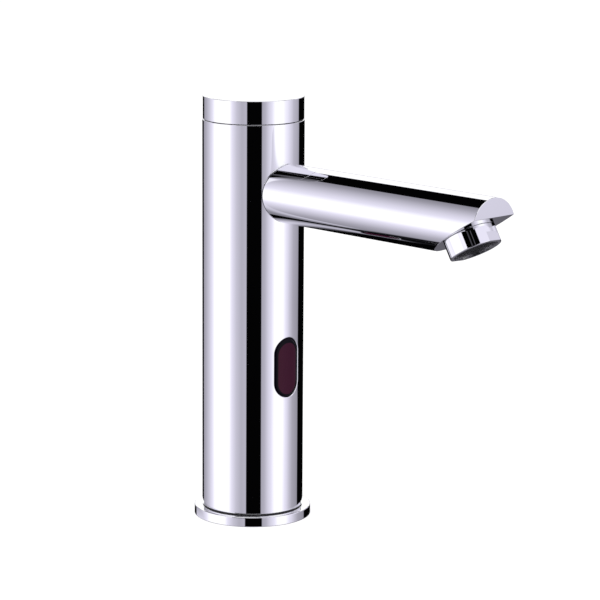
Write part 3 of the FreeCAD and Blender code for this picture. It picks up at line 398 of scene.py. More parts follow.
@dataclass(frozen=True)
class Winding(Finish):
    """Enamelled copper wire, laid turn on turn, with painted shade in the grooves between the turns."""

    cloud: float = 2000.0
    # tone: how dark the painted shade in the grooves between the turns is
    tone: float = 0.35
    wire: float = 0.0003
    depth: float = 0.00008

    def varied(self, recipe: Recipe) -> dict[str, Wire]:
        """Return the rounded turns and the painted shade in the grooves between them.

        Args:
            recipe: the material's node tree.

        Returns:
            Wires for the shader's sockets.
        """
        turns = recipe.ridges(self.wire)
        return {
            # painted shade: the colour darkens in the grooves between the turns
            "Base Color": self.toned(1 - turns),
            "Roughness": self.roughness * (0.8 + 0.4 * recipe.noise(self.cloud)),
            "Normal": recipe.bump(turns, self.depth),
        }


@dataclass(frozen=True)
class Window(Finish):
    """Dark red infrared plastic: a filter in a near-black border of painted shade and dark reflection; sizes
    in metres.
    """

    cloud: float = 60.0
    tone: float = 0.8
    # border: the painted shade and dark reflection round the filter
    border: Colour = (0.0015, 0.0006, 0.0035)
    # middle: the filter's middle, right of and below the lens's, so the painted border is widest at the upper
    # left
    middle: Point2 = (0.0003, 0.06975)
    half_width: float = 0.00535
    straight: float = 0.0062
    soft: float = 0.0002

    def varied(self, recipe: Recipe) -> dict[str, Wire]:
        """Return the filter's colour in a round-ended outline, painted shade outside it, and faint cloud in
        its gloss.

        Args:
            recipe: the material's node tree.

        Returns:
            Wires for the shader's sockets.
        """
        where = recipe.where()
        across = recipe.axis(where, "X") - self.middle[0]
        up = (abs(recipe.axis(where, "Z") - self.middle[1]) - self.straight).maths("MAXIMUM", 0.0)
        reach = (across * across + up * up).maths("SQRT")
        # outside: the near-black border, painted shade and dark reflection of the lens's falling edge
        outside = reach.step(self.half_width - self.soft, self.half_width + self.soft)
        cloud = recipe.noise(self.cloud, 3)
        return {
            "Base Color": recipe.blend(outside, self.toned(cloud), self.border),
            "Roughness": self.roughness * (0.8 + 0.4 * cloud),
        }


@dataclass(frozen=True)
class Board(Finish):
    """A circuit board: solder mask with copper tracks showing through."""

    cloud: float = 1500.0
    cells: float = 420.0
    track_edge: Point2 = (0.05, 0.09)
    track_colour: Colour = (0.06, 0.26, 0.09)
    depth: float = 0.00002

    def varied(self, recipe: Recipe) -> dict[str, Wire]:
        """Return tracks as slightly raised, paler lines.

        Args:
            recipe: the material's node tree.

        Returns:
            Wires for the shader's sockets.
        """
        cells = recipe.node(
            "ShaderNodeTexVoronoi", {"feature": "DISTANCE_TO_EDGE", "distance": "MANHATTAN"},
            {"Vector": recipe.where(), "Scale": self.cells, "Randomness": 0.6},
        )
        track = 1 - cells.step(*self.track_edge)
        return {
            "Base Color": recipe.blend(track, self.colour, self.track_colour),
            "Roughness": self.roughness + 0.1 * recipe.noise(self.cloud),
            "Normal": recipe.bump(track, self.depth),
        }


class Finishes(Enum):
    """The finishes by the record's material slot."""

    CHROME = Chrome("chrome", (0.93, 0.935, 0.94), 1.0, 0.018)
    BRASS = Turned("brass", (0.78, 0.55, 0.24), 1.0, 0.3)
    STEEL = Turned("steel", (0.62, 0.61, 0.6), 1.0, 0.26)
    COPPER = Winding("copper", (0.72, 0.27, 0.12), 1.0, 0.35)
    RUBBER = Moulded("rubber", (0.018, 0.018, 0.02), 0.0, 0.62)
    BLACK_PLASTIC = Moulded("black_plastic", (0.02, 0.02, 0.022), 0.0, 0.42)
    PALE_PLASTIC = Moulded("pale_plastic", (0.72, 0.71, 0.67), 0.0, 0.38)
    AERATOR_PLASTIC = Moulded("aerator_plastic", (0.03, 0.03, 0.033), 0.0, 0.4)
    WINDOW = Window("window", (0.046, 0.006, 0.022), 0.0, 0.08, {"Specular IOR Level": 0.08})
    CLEAR_DIODE = Finish("clear_diode", (0.75, 0.8, 0.85), 0.0, 0.08, {"Transmission Weight": 0.8})
    DARK_DIODE = Finish("dark_diode", (0.02, 0.015, 0.03), 0.0, 0.1, {"Coat Weight": 0.6})
    BOARD = Board("board", (0.015, 0.12, 0.045), 0.0, 0.35)


# mesh helpers -----------------------------------------------------------------------------------


Grid = tuple[np.ndarray, np.ndarray]  # points and outward directions, each (rows, columns, 3)


def heading(degrees: float) -> np.ndarray:
    """Return the level direction at an angle from +X."""
    turn = math.radians(degrees)
    return np.array((math.cos(turn), math.sin(turn), 0))


def placed(x_way: Sequence, y_way: Sequence, z_way: Sequence, origin: Sequence) -> np.ndarray:
    """Return the 4 x 4 matrix of a space whose axes have these ways and which starts at origin.

    Args:
        x_way: the direction of its X axis.
        y_way: that of its Y axis.
        z_way: that of its Z axis.
        origin: where it starts.

    Returns:
        The matrix.
    """
    place = np.eye(4)
    place[:3] = np.stack([x_way, y_way, z_way, origin], axis=-1)
    return place


def round_angles(steps: int) -> np.ndarray:
    """Return the angles of a full turn, with the first one again at the end."""
    return np.append(np.arange(steps) * (FULL_TURN / steps), 0.0)


def raised(flat: np.ndarray, height: float) -> np.ndarray:
    """Return flat points lying at a height along Z."""
    return np.insert(flat, 2, height, axis=-1)


def stood(flat: np.ndarray, depth: float = 0.0) -> np.ndarray:
    """Return flat points stood up in the plane at a depth along Y."""
    return np.insert(flat, 1, depth, axis=-1)


def saddled(line: np.ndarray, radius: float) -> np.ndarray:
    """Return the points moved along Y to the front of an upright cylinder.

    Args:
        line: the points.
        radius: the cylinder's radius.

    Returns:
        The points on it.
    """
    moved = line.copy()
    moved[..., 1] = -np.sqrt(radius**2 - moved[..., 0] ** 2)
    return moved


def unit(vectors: np.ndarray) -> np.ndarray:
    """Return the vectors with length 1."""
    return vectors / np.linalg.norm(vectors, axis=-1, keepdims=True)


def swing(first: np.ndarray, second: np.ndarray, share: float) -> np.ndarray:
    """Return the directions a share of the way round from the first to the second.

    Args:
        first: directions of length 1.
        second: others, in the same number.
        share: 0 for the first and 1 for the second.

    Returns:
        The directions.
    """
    angle = np.arccos(np.clip(np.sum(first * second, axis=-1, keepdims=True), -1, 1))
    safe = np.where(angle < TINY, 1, angle)
    turned = (np.sin((1 - share) * safe) * first + np.sin(share * safe) * second) / np.sin(safe)
    return np.where(angle < TINY, first, turned)


def rolled(centre: np.ndarray, first: np.ndarray, second: np.ndarray, radius: float, steps: int = 4) -> Grid:
    """Return the rounding that a ball leaves on an edge.

    Args:
        centre: the ball's centres along the edge.
        first: at each centre, the outward direction of the face on one side.
        second: the same on the other side.
        radius: the ball's radius.
        steps: faces across the rounding.

    Returns:
        The rounding's grid, from the first face to the second.
    """
    ways = np.stack([swing(first, second, share) for share in np.linspace(0, 1, steps + 1)])
    return centre + radius * ways, ways


def ball_centre(edge: np.ndarray, first: np.ndarray, second: np.ndarray, radius: float) -> np.ndarray:
    """Return where a ball's centre runs when it touches both faces at an edge."""
    along = np.sum(first * second, axis=-1, keepdims=True)
    return edge - radius * (first + second) / (1 + along)


def bridge(first: np.ndarray, second: np.ndarray, ways: np.ndarray, steps: int = 1) -> Grid:
    """Return straight runs between two lines, with the same outward directions along each run."""
    shares = np.linspace(0, 1, steps + 1)[:, None, None]
    return first * (1 - shares) + second * shares, np.broadcast_to(ways, (steps + 1, *first.shape))


def within(spots: np.ndarray, loop: np.ndarray) -> np.ndarray:
    """Return which flat points lie inside a closed flat loop.

    Args:
        spots: the points.
        loop: the loop's points, without a repeated end.

    Returns:
        True for each point inside.
    """
    inside = np.zeros(len(spots), bool)
    for (x0, y0), (x1, y1) in zip(loop, np.roll(loop, -1, axis=0)):
        if y0 != y1:
            crosses = (y0 > spots[:, 1]) != (y1 > spots[:, 1])
            inside ^= crosses & (spots[:, 0] < (x1 - x0) * (spots[:, 1] - y0) / (y1 - y0) + x0)
    return inside


def level(height: float, side: float = 1.0) -> Callable[[np.ndarray], Grid]:
    """Return what puts flat points at a height, facing up for side 1 and down for side -1.

    Args:
        height: the height along Z.
        side: 1 or -1.

    Returns:
        A function of flat points.
    """

    def lift(flat: np.ndarray) -> Grid:
        """Put flat points at the height."""
        return raised(flat, height), np.tile((0.0, 0.0, side), (len(flat), 1))

    return lift


@dataclass(frozen=True)
class Outline:
    """A closed line in a piece's own plane, and the outward direction at each of its points."""

    points: np.ndarray
    ways: np.ndarray

    @classmethod
    def closed(cls, points: list, ways: list) -> Outline:
        """Return the line of some points that goes back to the first."""
        return cls(np.array([*points, points[0]]), np.array([*ways, ways[0]]))

    @classmethod
    def slot(cls, half_width: float, half_length: float, steps: int = 24, runs: int = 6) -> Outline:
        """Return an upright slot's line.

        Args:
            half_width: the radius of its ends.
            half_length: from its middle to the end.
            steps: points round each end.
            runs: points along each side.

        Returns:
            The line, which starts and ends at the same point.
        """
        straight = half_length - half_width
        points, ways = [], []
        for side in (1, -1):
            for angle in np.linspace(0, math.pi, steps + 1):
                way = side * np.array((math.cos(angle), math.sin(angle)))
                points.append(half_width * way + (0, side * straight))
                ways.append(way)
            if straight > 0:
                for share in np.linspace(0, 1, runs + 1)[1:-1]:
                    points.append(np.array((-side * half_width, side * straight * (1 - 2 * share))))
                    ways.append(np.array((-side, 0.0)))
        return cls.closed(points, ways)

    @classmethod
    def circle(cls, steps: int = 96) -> Outline:
        """Return a circle of no radius, so that a profile's first number is the radius.

        Args:
            steps: points round it.

        Returns:
            The line.
        """
        angles = round_angles(steps)
        ways = np.stack([np.cos(angles), np.sin(angles)], axis=-1)
        return cls(np.zeros_like(ways), ways)

    @classmethod
    def hexagon(cls, radius: float, at: Point2 = (0, 0)) -> Outline:
        """Return a sharp hexagon about a point, with every corner twice, once for each side.

        Args:
            radius: from the middle to a corner.
            at: the middle.

        Returns:
            The line.
        """
        points, ways = [], []
        for side in range(6):
            ends = FULL_TURN / 6 * side, FULL_TURN / 6 * (side + 1)
            middle = sum(ends) / 2
            for angle in ends:
                points.append((at[0] + radius * math.cos(angle), at[1] + radius * math.sin(angle)))
                ways.append((math.cos(middle), math.sin(middle)))
        return cls.closed(points, ways)

    @classmethod
    def flatted(cls, radius: float, flats: float, turn: float, steps: int = 120) -> Outline:
        """Return a circle with two opposite flats, turned by an angle in radians.

        Args:
            radius: the circle's radius.
            flats: half the width across the flats.
            turn: the angle of the flats from level.
            steps: points round the circle.

        Returns:
            The line, with both directions at the ends of each flat.
        """
        half = math.acos(flats / radius)
        points, ways = [], []
        for side in (0, 1):
            middle = turn + math.pi * (side + 0.5)
            for share in (-1, 1):
                angle = middle + share * half
                points.append((radius * math.cos(angle), radius * math.sin(angle)))
                ways.append((math.cos(middle), math.sin(middle)))
            for angle in np.linspace(middle + half, middle + math.pi - half, steps // 2):
                points.append((radius * math.cos(angle), radius * math.sin(angle)))
                ways.append((math.cos(angle), math.sin(angle)))
        return cls.closed(points, ways)


@dataclass(frozen=True)
class Profile:
    """A piece's section: corners as distance out, height and rounding, with the material on the left."""

    corners: tuple[Point3, ...]
    closed: bool = False

    def bands(self, steps: int = 5) -> list[np.ndarray]:
        """Return the straight and round stretches.

        Args:
            steps: faces across a rounding.

        Returns:
            For each stretch, rows of distance out, height and the outward direction's two parts.
        """
        spots = np.array([corner[:2] for corner in self.corners], float)
        count = len(spots)
        ends, arcs = [], []
        for number, (_, _, radius) in enumerate(self.corners):
            here = spots[number]
            if radius == 0:
                ends.append((here, here))
                arcs.append(None)
                continue
            back = unit(spots[number - 1] - here)
            on = unit(spots[(number + 1) % count] - here)
            half = math.acos(float(np.clip(back @ on, -1, 1))) / 2
            reach = radius / math.tan(half)
            start, end = here + back * reach, here + on * reach
            centre = here + unit(back + on) * (radius / math.sin(half))
            first, second = unit(start - centre), unit(end - centre)
            ways = np.array([swing(first, second, share) for share in np.linspace(0, 1, steps + 1)])
            outward = 1 if first @ self._outward(-back) > 0 else -1
            ends.append((start, end))
            arcs.append(np.hstack([centre + radius * ways, outward * ways]))
        bands = []
        for number in range(count):
            if arcs[number] is not None:
                bands.append(arcs[number])
            if number + 1 < count or self.closed:
                start, end = ends[number][1], ends[(number + 1) % count][0]
                if np.linalg.norm(end - start) > TINY:
                    way = self._outward(unit(end - start))
                    bands.append(np.array([[*start, *way], [*end, *way]]))
        return bands

    @staticmethod
    def _outward(way: np.ndarray) -> np.ndarray:
        """Return the direction on the right of a way."""
        return np.array((way[1], -way[0]))


def tube_profile(inner: float, outer: float, low: float, high: float, edge: float) -> Profile:
    """Return the section of a plain ring with rounded edges."""
    return Profile(((inner, low, edge), (outer, low, edge), (outer, high, edge), (inner, high, edge)), True)


def linked(name: str, data: bpy.types.ID) -> bpy.types.Object:
    """Return a new object of the data, in the scene.

    Args:
        name: its name.
        data: its mesh, light or camera.

    Returns:
        The object.
    """
    made = bpy.data.objects.new(name, data)
    bpy.context.scene.collection.objects.link(made)
    return made


class Skin:
    """A mesh in the making: points in millimetres, and an outward direction for each corner of a face."""

    def __init__(self, place: np.ndarray | None = None) -> None:
        """Start an empty mesh.

        Args:
            place: the 4 x 4 matrix that brings the piece's own space to the tap's.
        """
        self.place = np.eye(4) if place is None else place
        self.points: list[np.ndarray] = []
        self.ways: list[np.ndarray] = []
        self.faces: list[np.ndarray] = []
        self.count = 0

    def _add(self, points: np.ndarray, ways: np.ndarray, faces: np.ndarray) -> None:
        """Keep points, directions and faces, with each face turned to the side its directions show.

        Args:
            points: the points.
            ways: the outward direction at each.
            faces: the points' numbers, a row for each face.
        """
        turn, shift = self.place[:3, :3], self.place[:3, 3]
        points, ways = points @ turn.T + shift, ways @ turn.T
        diagonals = points[faces[:, 2]] - points[faces[:, 0]], points[faces[:, -1]] - points[faces[:, 1]]
        out = np.cross(*diagonals)
        wrong = np.sum(out * ways[faces].sum(axis=1), axis=1) < 0
        faces = np.where(wrong[:, None], faces[:, ::-1], faces)
        self.points.append(points)
        self.ways.append(ways)
        self.faces.append(faces + self.count)
        self.count += len(points)

    def grid(self, spots: np.ndarray, ways: np.ndarray) -> None:
        """Add a grid of four-sided faces.

        Args:
            spots: its points, as rows of columns.
            ways: the outward direction at each.
        """
        rows, columns = spots.shape[:2]
        index = np.arange(rows * columns).reshape(rows, columns)
        corners = [index[:-1, :-1], index[:-1, 1:], index[1:, 1:], index[1:, :-1]]
        faces = np.stack(corners, axis=-1).reshape(-1, 4)
        self._add(spots.reshape(-1, 3), np.array(ways).reshape(-1, 3), faces)

    def loft(self, outline: Outline, profile: Profile, steps: int = 5) -> None:
        """Add the skin that a profile leaves as it runs round an outline.

        Args:
            outline: the line, in the X and Y of the piece's own space.
            profile: the section, out from the line and up along Z.
            steps: faces across a rounding.
        """
        shape = (*outline.points.shape[:1], 1)
        for band in profile.bands(steps):
            out, up, out_way, up_way = (band[:, k, None, None] for k in range(4))
            flat = outline.points[None] + out * outline.ways[None]
            flat_ways = out_way * outline.ways[None]
            high, high_ways = (np.broadcast_to(part, (len(band), *shape)) for part in (up, up_way))
            self.grid(np.concatenate([flat, high], axis=-1), np.concatenate([flat_ways, high_ways], axis=-1))

    def lathe(self, profile: Profile, sides: int = 96, steps: int = 5) -> None:
        """Add a body turned about Z."""
        self.loft(Outline.circle(sides), profile, steps)

    def thread(
        self, crest: float, root: float, low: float, high: float, pitch: float,
        rows_in_turn: int = 8, columns: int = 72,
    ) -> None:
        """Add a screw thread that fades out at both ends.

        Args:
            crest: the radius at the crests.
            root: the radius at the roots.
            low: its lower end.
            high: its upper end.
            pitch: the rise in one turn.
            rows_in_turn: rows of points in each turn's rise.
            columns: faces round it.
        """
        height = np.linspace(low, high, int((high - low) / pitch * rows_in_turn) + 1)[:, None]
        angle = np.linspace(0, FULL_TURN, columns + 1)[None, :]
        phase = FULL_TURN * height / pitch - angle
        fade = np.minimum(1, np.minimum(height - low, high - height) / pitch)
        middle, swell = (crest + root) / 2, (crest - root) / 2
        flank = np.clip(THREAD_STEEPNESS * np.cos(phase), -1, 1)
        radius = middle + fade * swell * flank + (1 - fade) * (root - middle)
        slope = np.gradient(radius, height[:, 0], axis=0)
        out = np.stack([np.cos(angle) + 0 * radius, np.sin(angle) + 0 * radius, 0 * radius], axis=-1)
        spots = radius[..., None] * out
        spots[..., 2], out[..., 2] = height + 0 * angle, -slope
        self.grid(spots, unit(out))

    def sheet(
        self,
        loops: Sequence[np.ndarray],
        lift: Callable[[np.ndarray], Grid],
        spots: Sequence[np.ndarray] | None = None,
        extra: Sequence[np.ndarray] = (),
    ) -> None:
        """Add a surface of triangles between an outer loop and holes.

        Args:
            loops: the closed lines on the flat, the outer one first, without a repeated end.
            lift: gives points in space, and their outward directions, for flat points.
            spots: the points in space that the loops' points already have, if lift doesn't give them.
            extra: groups of flat points inside, for a curved surface.
        """
        flat = np.concatenate([*loops, *extra])
        edges, start = [], 0
        for loop in loops:
            number = np.arange(len(loop))
            edges += np.stack([start + number, start + (number + 1) % len(loop)], axis=-1).tolist()
            start += len(loop)
        made = delaunay_2d_cdt([Vector(spot) for spot in flat], edges, [], 0, 1e-7)
        corners = np.array([tuple(spot) for spot in made[0]])
        triangles = np.array([face for face in made[2] if len(face) == 3])
        middles = corners[triangles].mean(axis=1)
        kept = within(middles, loops[0])
        for hole in loops[1:]:
            kept &= ~within(middles, hole)
        points, ways = lift(corners)
        known = np.concatenate(spots or [lift(loop)[0] for loop in loops])
        for number, sources in enumerate(made[3]):
            fixed = [source for source in sources if source < len(known)]
            if fixed:
                points[number] = known[fixed[0]]
        self._add(points, ways, triangles[kept])

    def build(self, name: str, finish: Finishes, body: str, nodes: Sequence[str] = ()) -> bpy.types.Object:
        """Join equal points and make the piece.

        Args:
            name: its name.
            finish: its finish, whose name is the record's material slot.
            body: the CAD body that carries it.
            nodes: the CAD nodes that it stands for.

        Returns:
            The new object.
        """
        points, ways = np.concatenate(self.points), np.concatenate(self.ways)
        places = np.round(points, JOIN_DECIMALS)
        _, first, merged = np.unique(places, axis=0, return_index=True, return_inverse=True)
        merged = merged.ravel()
        faces, corner_ways = [], []
        for block in self.faces:
            for face in block.tolist():
                kept = [corner for k, corner in enumerate(face) if merged[corner] != merged[face[k - 1]]]
                if len({merged[corner] for corner in kept}) > 2:
                    faces.append([int(merged[corner]) for corner in kept])
                    corner_ways += [tuple(ways[corner]) for corner in kept]
        mesh = bpy.data.meshes.new(name)
        mesh.from_pydata((points[first] * MM).tolist(), [], faces)
        mesh.polygons.foreach_set("use_smooth", [True] * len(faces))
        mesh.normals_split_custom_set(corner_ways)
        mesh.materials.append(finish.value.material())
        piece = linked(name, mesh)
        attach(piece, body)
        if nodes:
            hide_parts(*nodes)
        LOG.info("%s: %d faces on %s", name, len(faces), body)
        return piece


# column, foot and cap ---------------------------------------------------------------------------


@dataclass
class Hole:
    """A slot or round hole through the column, cut straight along one direction."""

    angle: float
    height: float
    half_width: float
    half_length: float
    edge: float
    steps: int = 24

    def lines(self, radius: float) -> Grid:
        """Return the hole's edge on a tube, and the outward direction of its wall at each point.

        Args:
            radius: the tube's radius.

        Returns:
            Points and directions, without a repeated end.
        """
        line = Outline.slot(self.half_width, self.half_length, self.steps)
        out, up = heading(self.angle), np.array((0, 0, 1))
        side = np.array((-out[1], out[0], 0))
        across = line.points[:-1, :1]
        reach = np.sqrt(radius**2 - across**2)
        points = across * side + (self.height + line.points[:-1, 1:]) * up + reach * out
        return points, -(line.ways[:-1, :1] * side + line.ways[:-1, 1:] * up)


@dataclass
class Column:
    """The chromed column: a pierced tube on a dark ring of painted seam shade, and its two locking screws.

    The screws' root, face and point are shares of their radius.
    """

    radius: float = 22.5
    wall: float = 3.0
    bottom: float = 4.9
    top: float = 178.55
    edge: float = 0.2
    # a thin dark ring in the seam over the foot: painted shade for the seam's dark line
    seam_shade_width: float = 2.0
    seam_shade_height: float = 0.6
    seam_shade_drop: float = 0.5
    seam_shade_inset: float = 0.3
    seam_shade_edge: float = 0.05
    window: Hole = field(default_factory=lambda: Hole(-90, 70.3, 6.9, 13.4, 0.4))
    spigot: Hole = field(default_factory=lambda: Hole(-90, 147.9, 8.6, 8.6, 0.1))
    columns: int = ROUND_SIDES
    row: float = 6.0
    clear: float = 0.5
    screw_angles: Point2 = (55, 125)
    screw_height: float = 13.0
    screw_hole: float = 2.05
    screw_hole_edge: float = 0.15
    screw_radius: float = 2.0
    screw_root: float = 0.86
    screw_face: float = 0.76
    screw_point: float = 0.5
    screw_cone: float = 0.8
    screw_chamfer: float = 0.3
    screw_pitch: float = 0.7
    screw_ends: Point2 = (14.6, 22.1)
    socket_radius: float = 1.15
    socket_depth: float = 2.5
    screw_sides: int = 72

    def build(self) -> None:
        """Build the tube, the dark ring of painted seam shade and the screws."""
        self._tube()
        # the dark ring under the tube stands for the shade in its seam with the foot
        seam_shade_ring = Skin()
        low, outer = self.bottom - self.seam_shade_drop, self.radius - self.seam_shade_inset
        inner, high = self.radius - self.seam_shade_width, low + self.seam_shade_height
        seam_shade_ring.lathe(tube_profile(inner, outer, low, high, self.seam_shade_edge), self.columns)
        seam_shade_ring.build("column_seam_shade_ring", Finishes.RUBBER, "root")
        for number, angle in enumerate(self.screw_angles):
            self._screw(f"column_screw_{number + 1}", angle, ("body_grub_screws",) if number == 0 else ())

    def _tube(self) -> None:
        """Build the tube with rounded edges round every hole."""
        skin = Skin()
        holes = [self.window, self.spigot]
        size = (self.screw_height, self.screw_hole, self.screw_hole, self.screw_hole_edge, 10)
        holes += [Hole(angle, *size) for angle in self.screw_angles]
        outside, inside = [], []
        radius, bore, edge = self.radius, self.radius - self.wall, self.edge
        for hole in holes:
            rim, wall = hole.lines(radius)
            radial = unit(rim * (1, 1, 0))
            spots, ways = rolled(ball_centre(rim, radial, wall, hole.edge), radial, wall, hole.edge)
            inner, _ = hole.lines(bore)
            outside.append(spots[0])
            inside.append(inner)
            close = np.r_[0:len(rim), 0]
            skin.grid(spots[:, close], ways[:, close])
            skin.grid(*bridge(spots[-1][close], inner[close], wall[close]))
        low, high = self.bottom + edge, self.top - edge
        self._face(skin, radius, (low, high), outside, 1)
        self._face(skin, bore, (self.bottom, self.top), inside, -1)
        for section in (
            ((bore, self.bottom, 0), (radius, self.bottom, edge), (radius, low, 0)),
            ((radius, high, 0), (radius, self.top, edge), (bore, self.top, 0)),
        ):
            skin.lathe(Profile(section), self.columns)
        skin.build("column", Finishes.CHROME, "root", ("body_shell",))

    def _face(self, skin: Skin, radius: float, ends: Point2, holes: Sequence[np.ndarray], side: int) -> None:
        """Add one side of the tube, unrolled and meshed around its holes.

        Args:
            skin: the mesh to add to.
            radius: the side's radius.
            ends: its lower and upper end.
            holes: each hole's edge on it.
            side: 1 outside and -1 inside.
        """
        angles = np.linspace(-math.pi, math.pi, self.columns + 1)
        rows = np.linspace(*ends, int((ends[1] - ends[0]) / self.row) + 1)

        def lift(flat: np.ndarray) -> Grid:
            """Roll flat points up into the tube.

            Args:
                flat: the points, unrolled.

            Returns:
                The points and their outward directions.
            """
            turn = flat[:, 0] / radius
            way = np.stack([np.cos(turn), np.sin(turn), 0 * turn], axis=-1)
            return way * radius + flat[:, 1:] * (0, 0, 1), way * side

        def line(across: np.ndarray, up: np.ndarray) -> np.ndarray:
            """Return the flat points at angles and heights."""
            return np.stack([across * radius, up], axis=-1)

        right = line(0 * rows[1:-1] + angles[-1], rows[1:-1])
        bottom, top = line(angles, 0 * angles + ends[0]), line(angles[::-1], 0 * angles + ends[1])
        rim = np.concatenate([bottom, right, top, right[::-1] * (-1, 1)])
        loops = [line(np.arctan2(hole[:, 1], hole[:, 0]), hole[:, 2]) for hole in holes]
        across, up = np.meshgrid(angles[1:-1], rows[1:-1])
        net = line(across.ravel(), up.ravel())
        for loop in loops:
            gap = np.linalg.norm(net[:, None] - loop[None], axis=-1).min(axis=1)
            net = net[(gap > self.clear) & ~within(net, loop)]
        skin.sheet([rim, *loops], lift, [lift(rim)[0], *holes], [net])

    def _screw(self, name: str, angle: float, nodes: Sequence[str]) -> None:
        """Build one locking screw with its hexagon socket and cone point.

        Args:
            name: the piece's name.
            angle: its direction about the column, in degrees.
            nodes: the CAD nodes that it stands for.
        """
        out = heading(angle)
        skin = Skin(placed((-out[1], out[0], 0), (0, 0, 1), out, (0, 0, self.screw_height)))
        crest = self.screw_radius
        point, root, face = crest * self.screw_point, crest * self.screw_root, crest * self.screw_face
        start, end = self.screw_ends
        cone, chamfer = start + self.screw_cone, end - self.screw_chamfer
        skin.lathe(Profile(((0, start, 0), (point, start, 0), (root, cone, 0))), self.screw_sides)
        skin.thread(crest, root, cone, chamfer, self.screw_pitch)
        skin.lathe(Profile(((root, chamfer, 0), (face, end, 0))), self.screw_sides)
        socket, bottom = Outline.hexagon(self.socket_radius), end - self.socket_depth
        hole = socket.points[:-1:2]
        skin.sheet([Outline.circle(self.screw_sides).ways[:-1] * face, hole], level(end))
        skin.loft(Outline(socket.points, -socket.ways), Profile(((0, bottom, 0), (0, end, 0))))
        skin.sheet([hole], level(bottom))
        skin.build(name, Finishes.STEEL, "root", nodes)


@dataclass
class Foot:
    """The round chromed foot with softened edges and a groove under it for the deck gasket."""

    radius: float = 26.0
    height: float = 4.4
    hole: float = 17.2
    groove: Point2 = (20.4, 23.6)
    groove_depth: float = 1.6
    edge: float = 0.55
    rim: float = 0.3

    def build(self) -> None:
        """Build the foot."""
        skin = Skin()
        inner, outer = self.groove
        fine, deep = SMALL_EDGE, self.groove_depth
        skin.lathe(Profile((
            (self.hole, 0, fine), (inner, 0, fine), (inner, deep, 0), (outer, deep, 0), (outer, 0, fine),
            (self.radius, 0, self.rim), (self.radius, self.height, self.edge), (self.hole, self.height, fine),
        ), True), ROUND_SIDES)
        skin.build("foot", Finishes.CHROME, "root", ("base_plate",))


@dataclass
class Cap:
    """The chromed cap on its threaded plug, with the rubber ring in the plug's groove."""

    radius: float = 22.3
    top: float = 189.0
    underside: float = 178.8
    plug: float = 19.4
    plug_depth: float = 8.0
    plug_edge: float = 0.3
    hollow: float = 16.4
    hollow_edge: float = 1.0
    crown: float = 3.0
    groove_width: float = 1.6
    groove_play: float = 0.05
    thread_depth: float = 0.6
    lip: float = 0.4
    ring: float = 0.4
    ring_play: float = 0.03
    ring_roundness: float = 0.98
    pitch: float = 1.0
    edge: float = 0.3
    rim: float = 0.15

    def build(self) -> None:
        """Build the cap and its ring."""
        skin, ring = Skin(), Skin()
        base, edge = self.underside, FINE_EDGE
        low, root, roof = base - self.plug_depth, self.plug - self.thread_depth, self.top - self.crown
        groove_low, groove = base - self.groove_width, self.plug - 2 * self.ring - self.groove_play
        thread_low, thread_high = low + self.thread_depth, groove_low - self.thread_depth
        lip = groove_low - self.lip
        skin.lathe(Profile((
            (0, roof, 0), (self.hollow, roof, self.hollow_edge), (self.hollow, low, self.plug_edge),
            (root, low, SMALL_EDGE), (root, thread_low, 0),
        )), ROUND_SIDES)
        skin.thread(self.plug, root, thread_low, thread_high, self.pitch)
        skin.lathe(Profile((
            (root, thread_high, 0), (root, lip, edge), (self.plug, lip, edge), (self.plug, groove_low, edge),
            (groove, groove_low, edge), (groove, base, edge), (self.radius, base, self.rim),
            (self.radius, self.top, self.edge), (0, self.top, 0),
        )), ROUND_SIDES)
        skin.build("cap", Finishes.CHROME, "cap", ("top_cap",))
        middle, half = self.plug - self.ring, self.ring - self.ring_play
        height = base - self.groove_play - self.groove_width / 2
        sides = (middle - half, middle + half, height - half, height + half)
        ring.lathe(tube_profile(*sides, half * self.ring_roundness), steps=8)
        ring.build("cap_ring", Finishes.RUBBER, "cap_seal", ("cap_o_ring",))


# sensor -----------------------------------------------------------------------------------------


@dataclass
class SensorEye:
    """The dark window: a round-ended lens that follows the column and falls away at its border."""

    column: float = 22.5
    recess: float = 0.16
    half_width: float = 6.78
    half_length: float = 13.28
    height: float = 70.3
    border: float = 1.3
    fall: float = 0.55
    flange: float = 1.9
    flange_front: float = 17.3
    back: float = 16.0
    border_rows: int = 12
    middle_rows: int = 14
    end_steps: int = 36

    def build(self) -> None:
        """Build the window with its flange."""
        skin = Skin()
        line = Outline.slot(self.half_width, self.half_length, self.end_steps)
        face = self.column - self.recess
        insets = np.concatenate([
            np.linspace(0, self.border, self.border_rows),
            np.linspace(self.border, self.half_width, self.middle_rows)[1:],
        ])
        share = np.clip(1 - insets / self.border, 0, 1)
        drop, slope = self.fall * share**2, 2 * self.fall / self.border * share
        skin.grid(*self._rows(line, -insets, face - drop, slope))
        rim, _ = self._rows(line, np.zeros(1), np.array([face - self.fall]), np.zeros(1))
        wall, front = stood(line.ways), np.array((0.0, -1.0, 0.0))
        inner, outer = (self._flat(line, out, self.flange_front) for out in (0, self.flange))
        behind, middle = (self._flat(line, out, self.back) for out in (self.flange, -self.half_width))
        skin.grid(*bridge(rim[0], inner, wall))
        skin.grid(*bridge(inner, outer, front))
        skin.grid(*bridge(outer, behind, wall))
        skin.grid(*bridge(behind, middle, -front))
        skin.build("sensor_lens", Finishes.WINDOW, "root", ("sensor_window",))

    def _rows(self, line: Outline, out: np.ndarray, radius: np.ndarray, slope: np.ndarray) -> Grid:
        """Return rows of the lens at distances out from its outline.

        Args:
            line: the outline.
            out: each row's distance out.
            radius: each row's distance from the column's axis.
            slope: how fast each row rises inwards.

        Returns:
            The rows' points and outward directions.
        """
        flat = line.points[None] + out[:, None, None] * line.ways[None]
        spots = saddled(stood(flat) + (0, 0, self.height), radius[:, None])
        return spots, unit(unit(spots * (1, 1, 0)) + slope[:, None, None] * stood(line.ways)[None])

    def _flat(self, line: Outline, out: float, front: float) -> np.ndarray:
        """Return the outline moved out by a distance, on an upright plane in front of the axis."""
        return stood(line.points + out * line.ways, -front) + (0, 0, self.height)


# spout and aerator ------------------------------------------------------------------------------


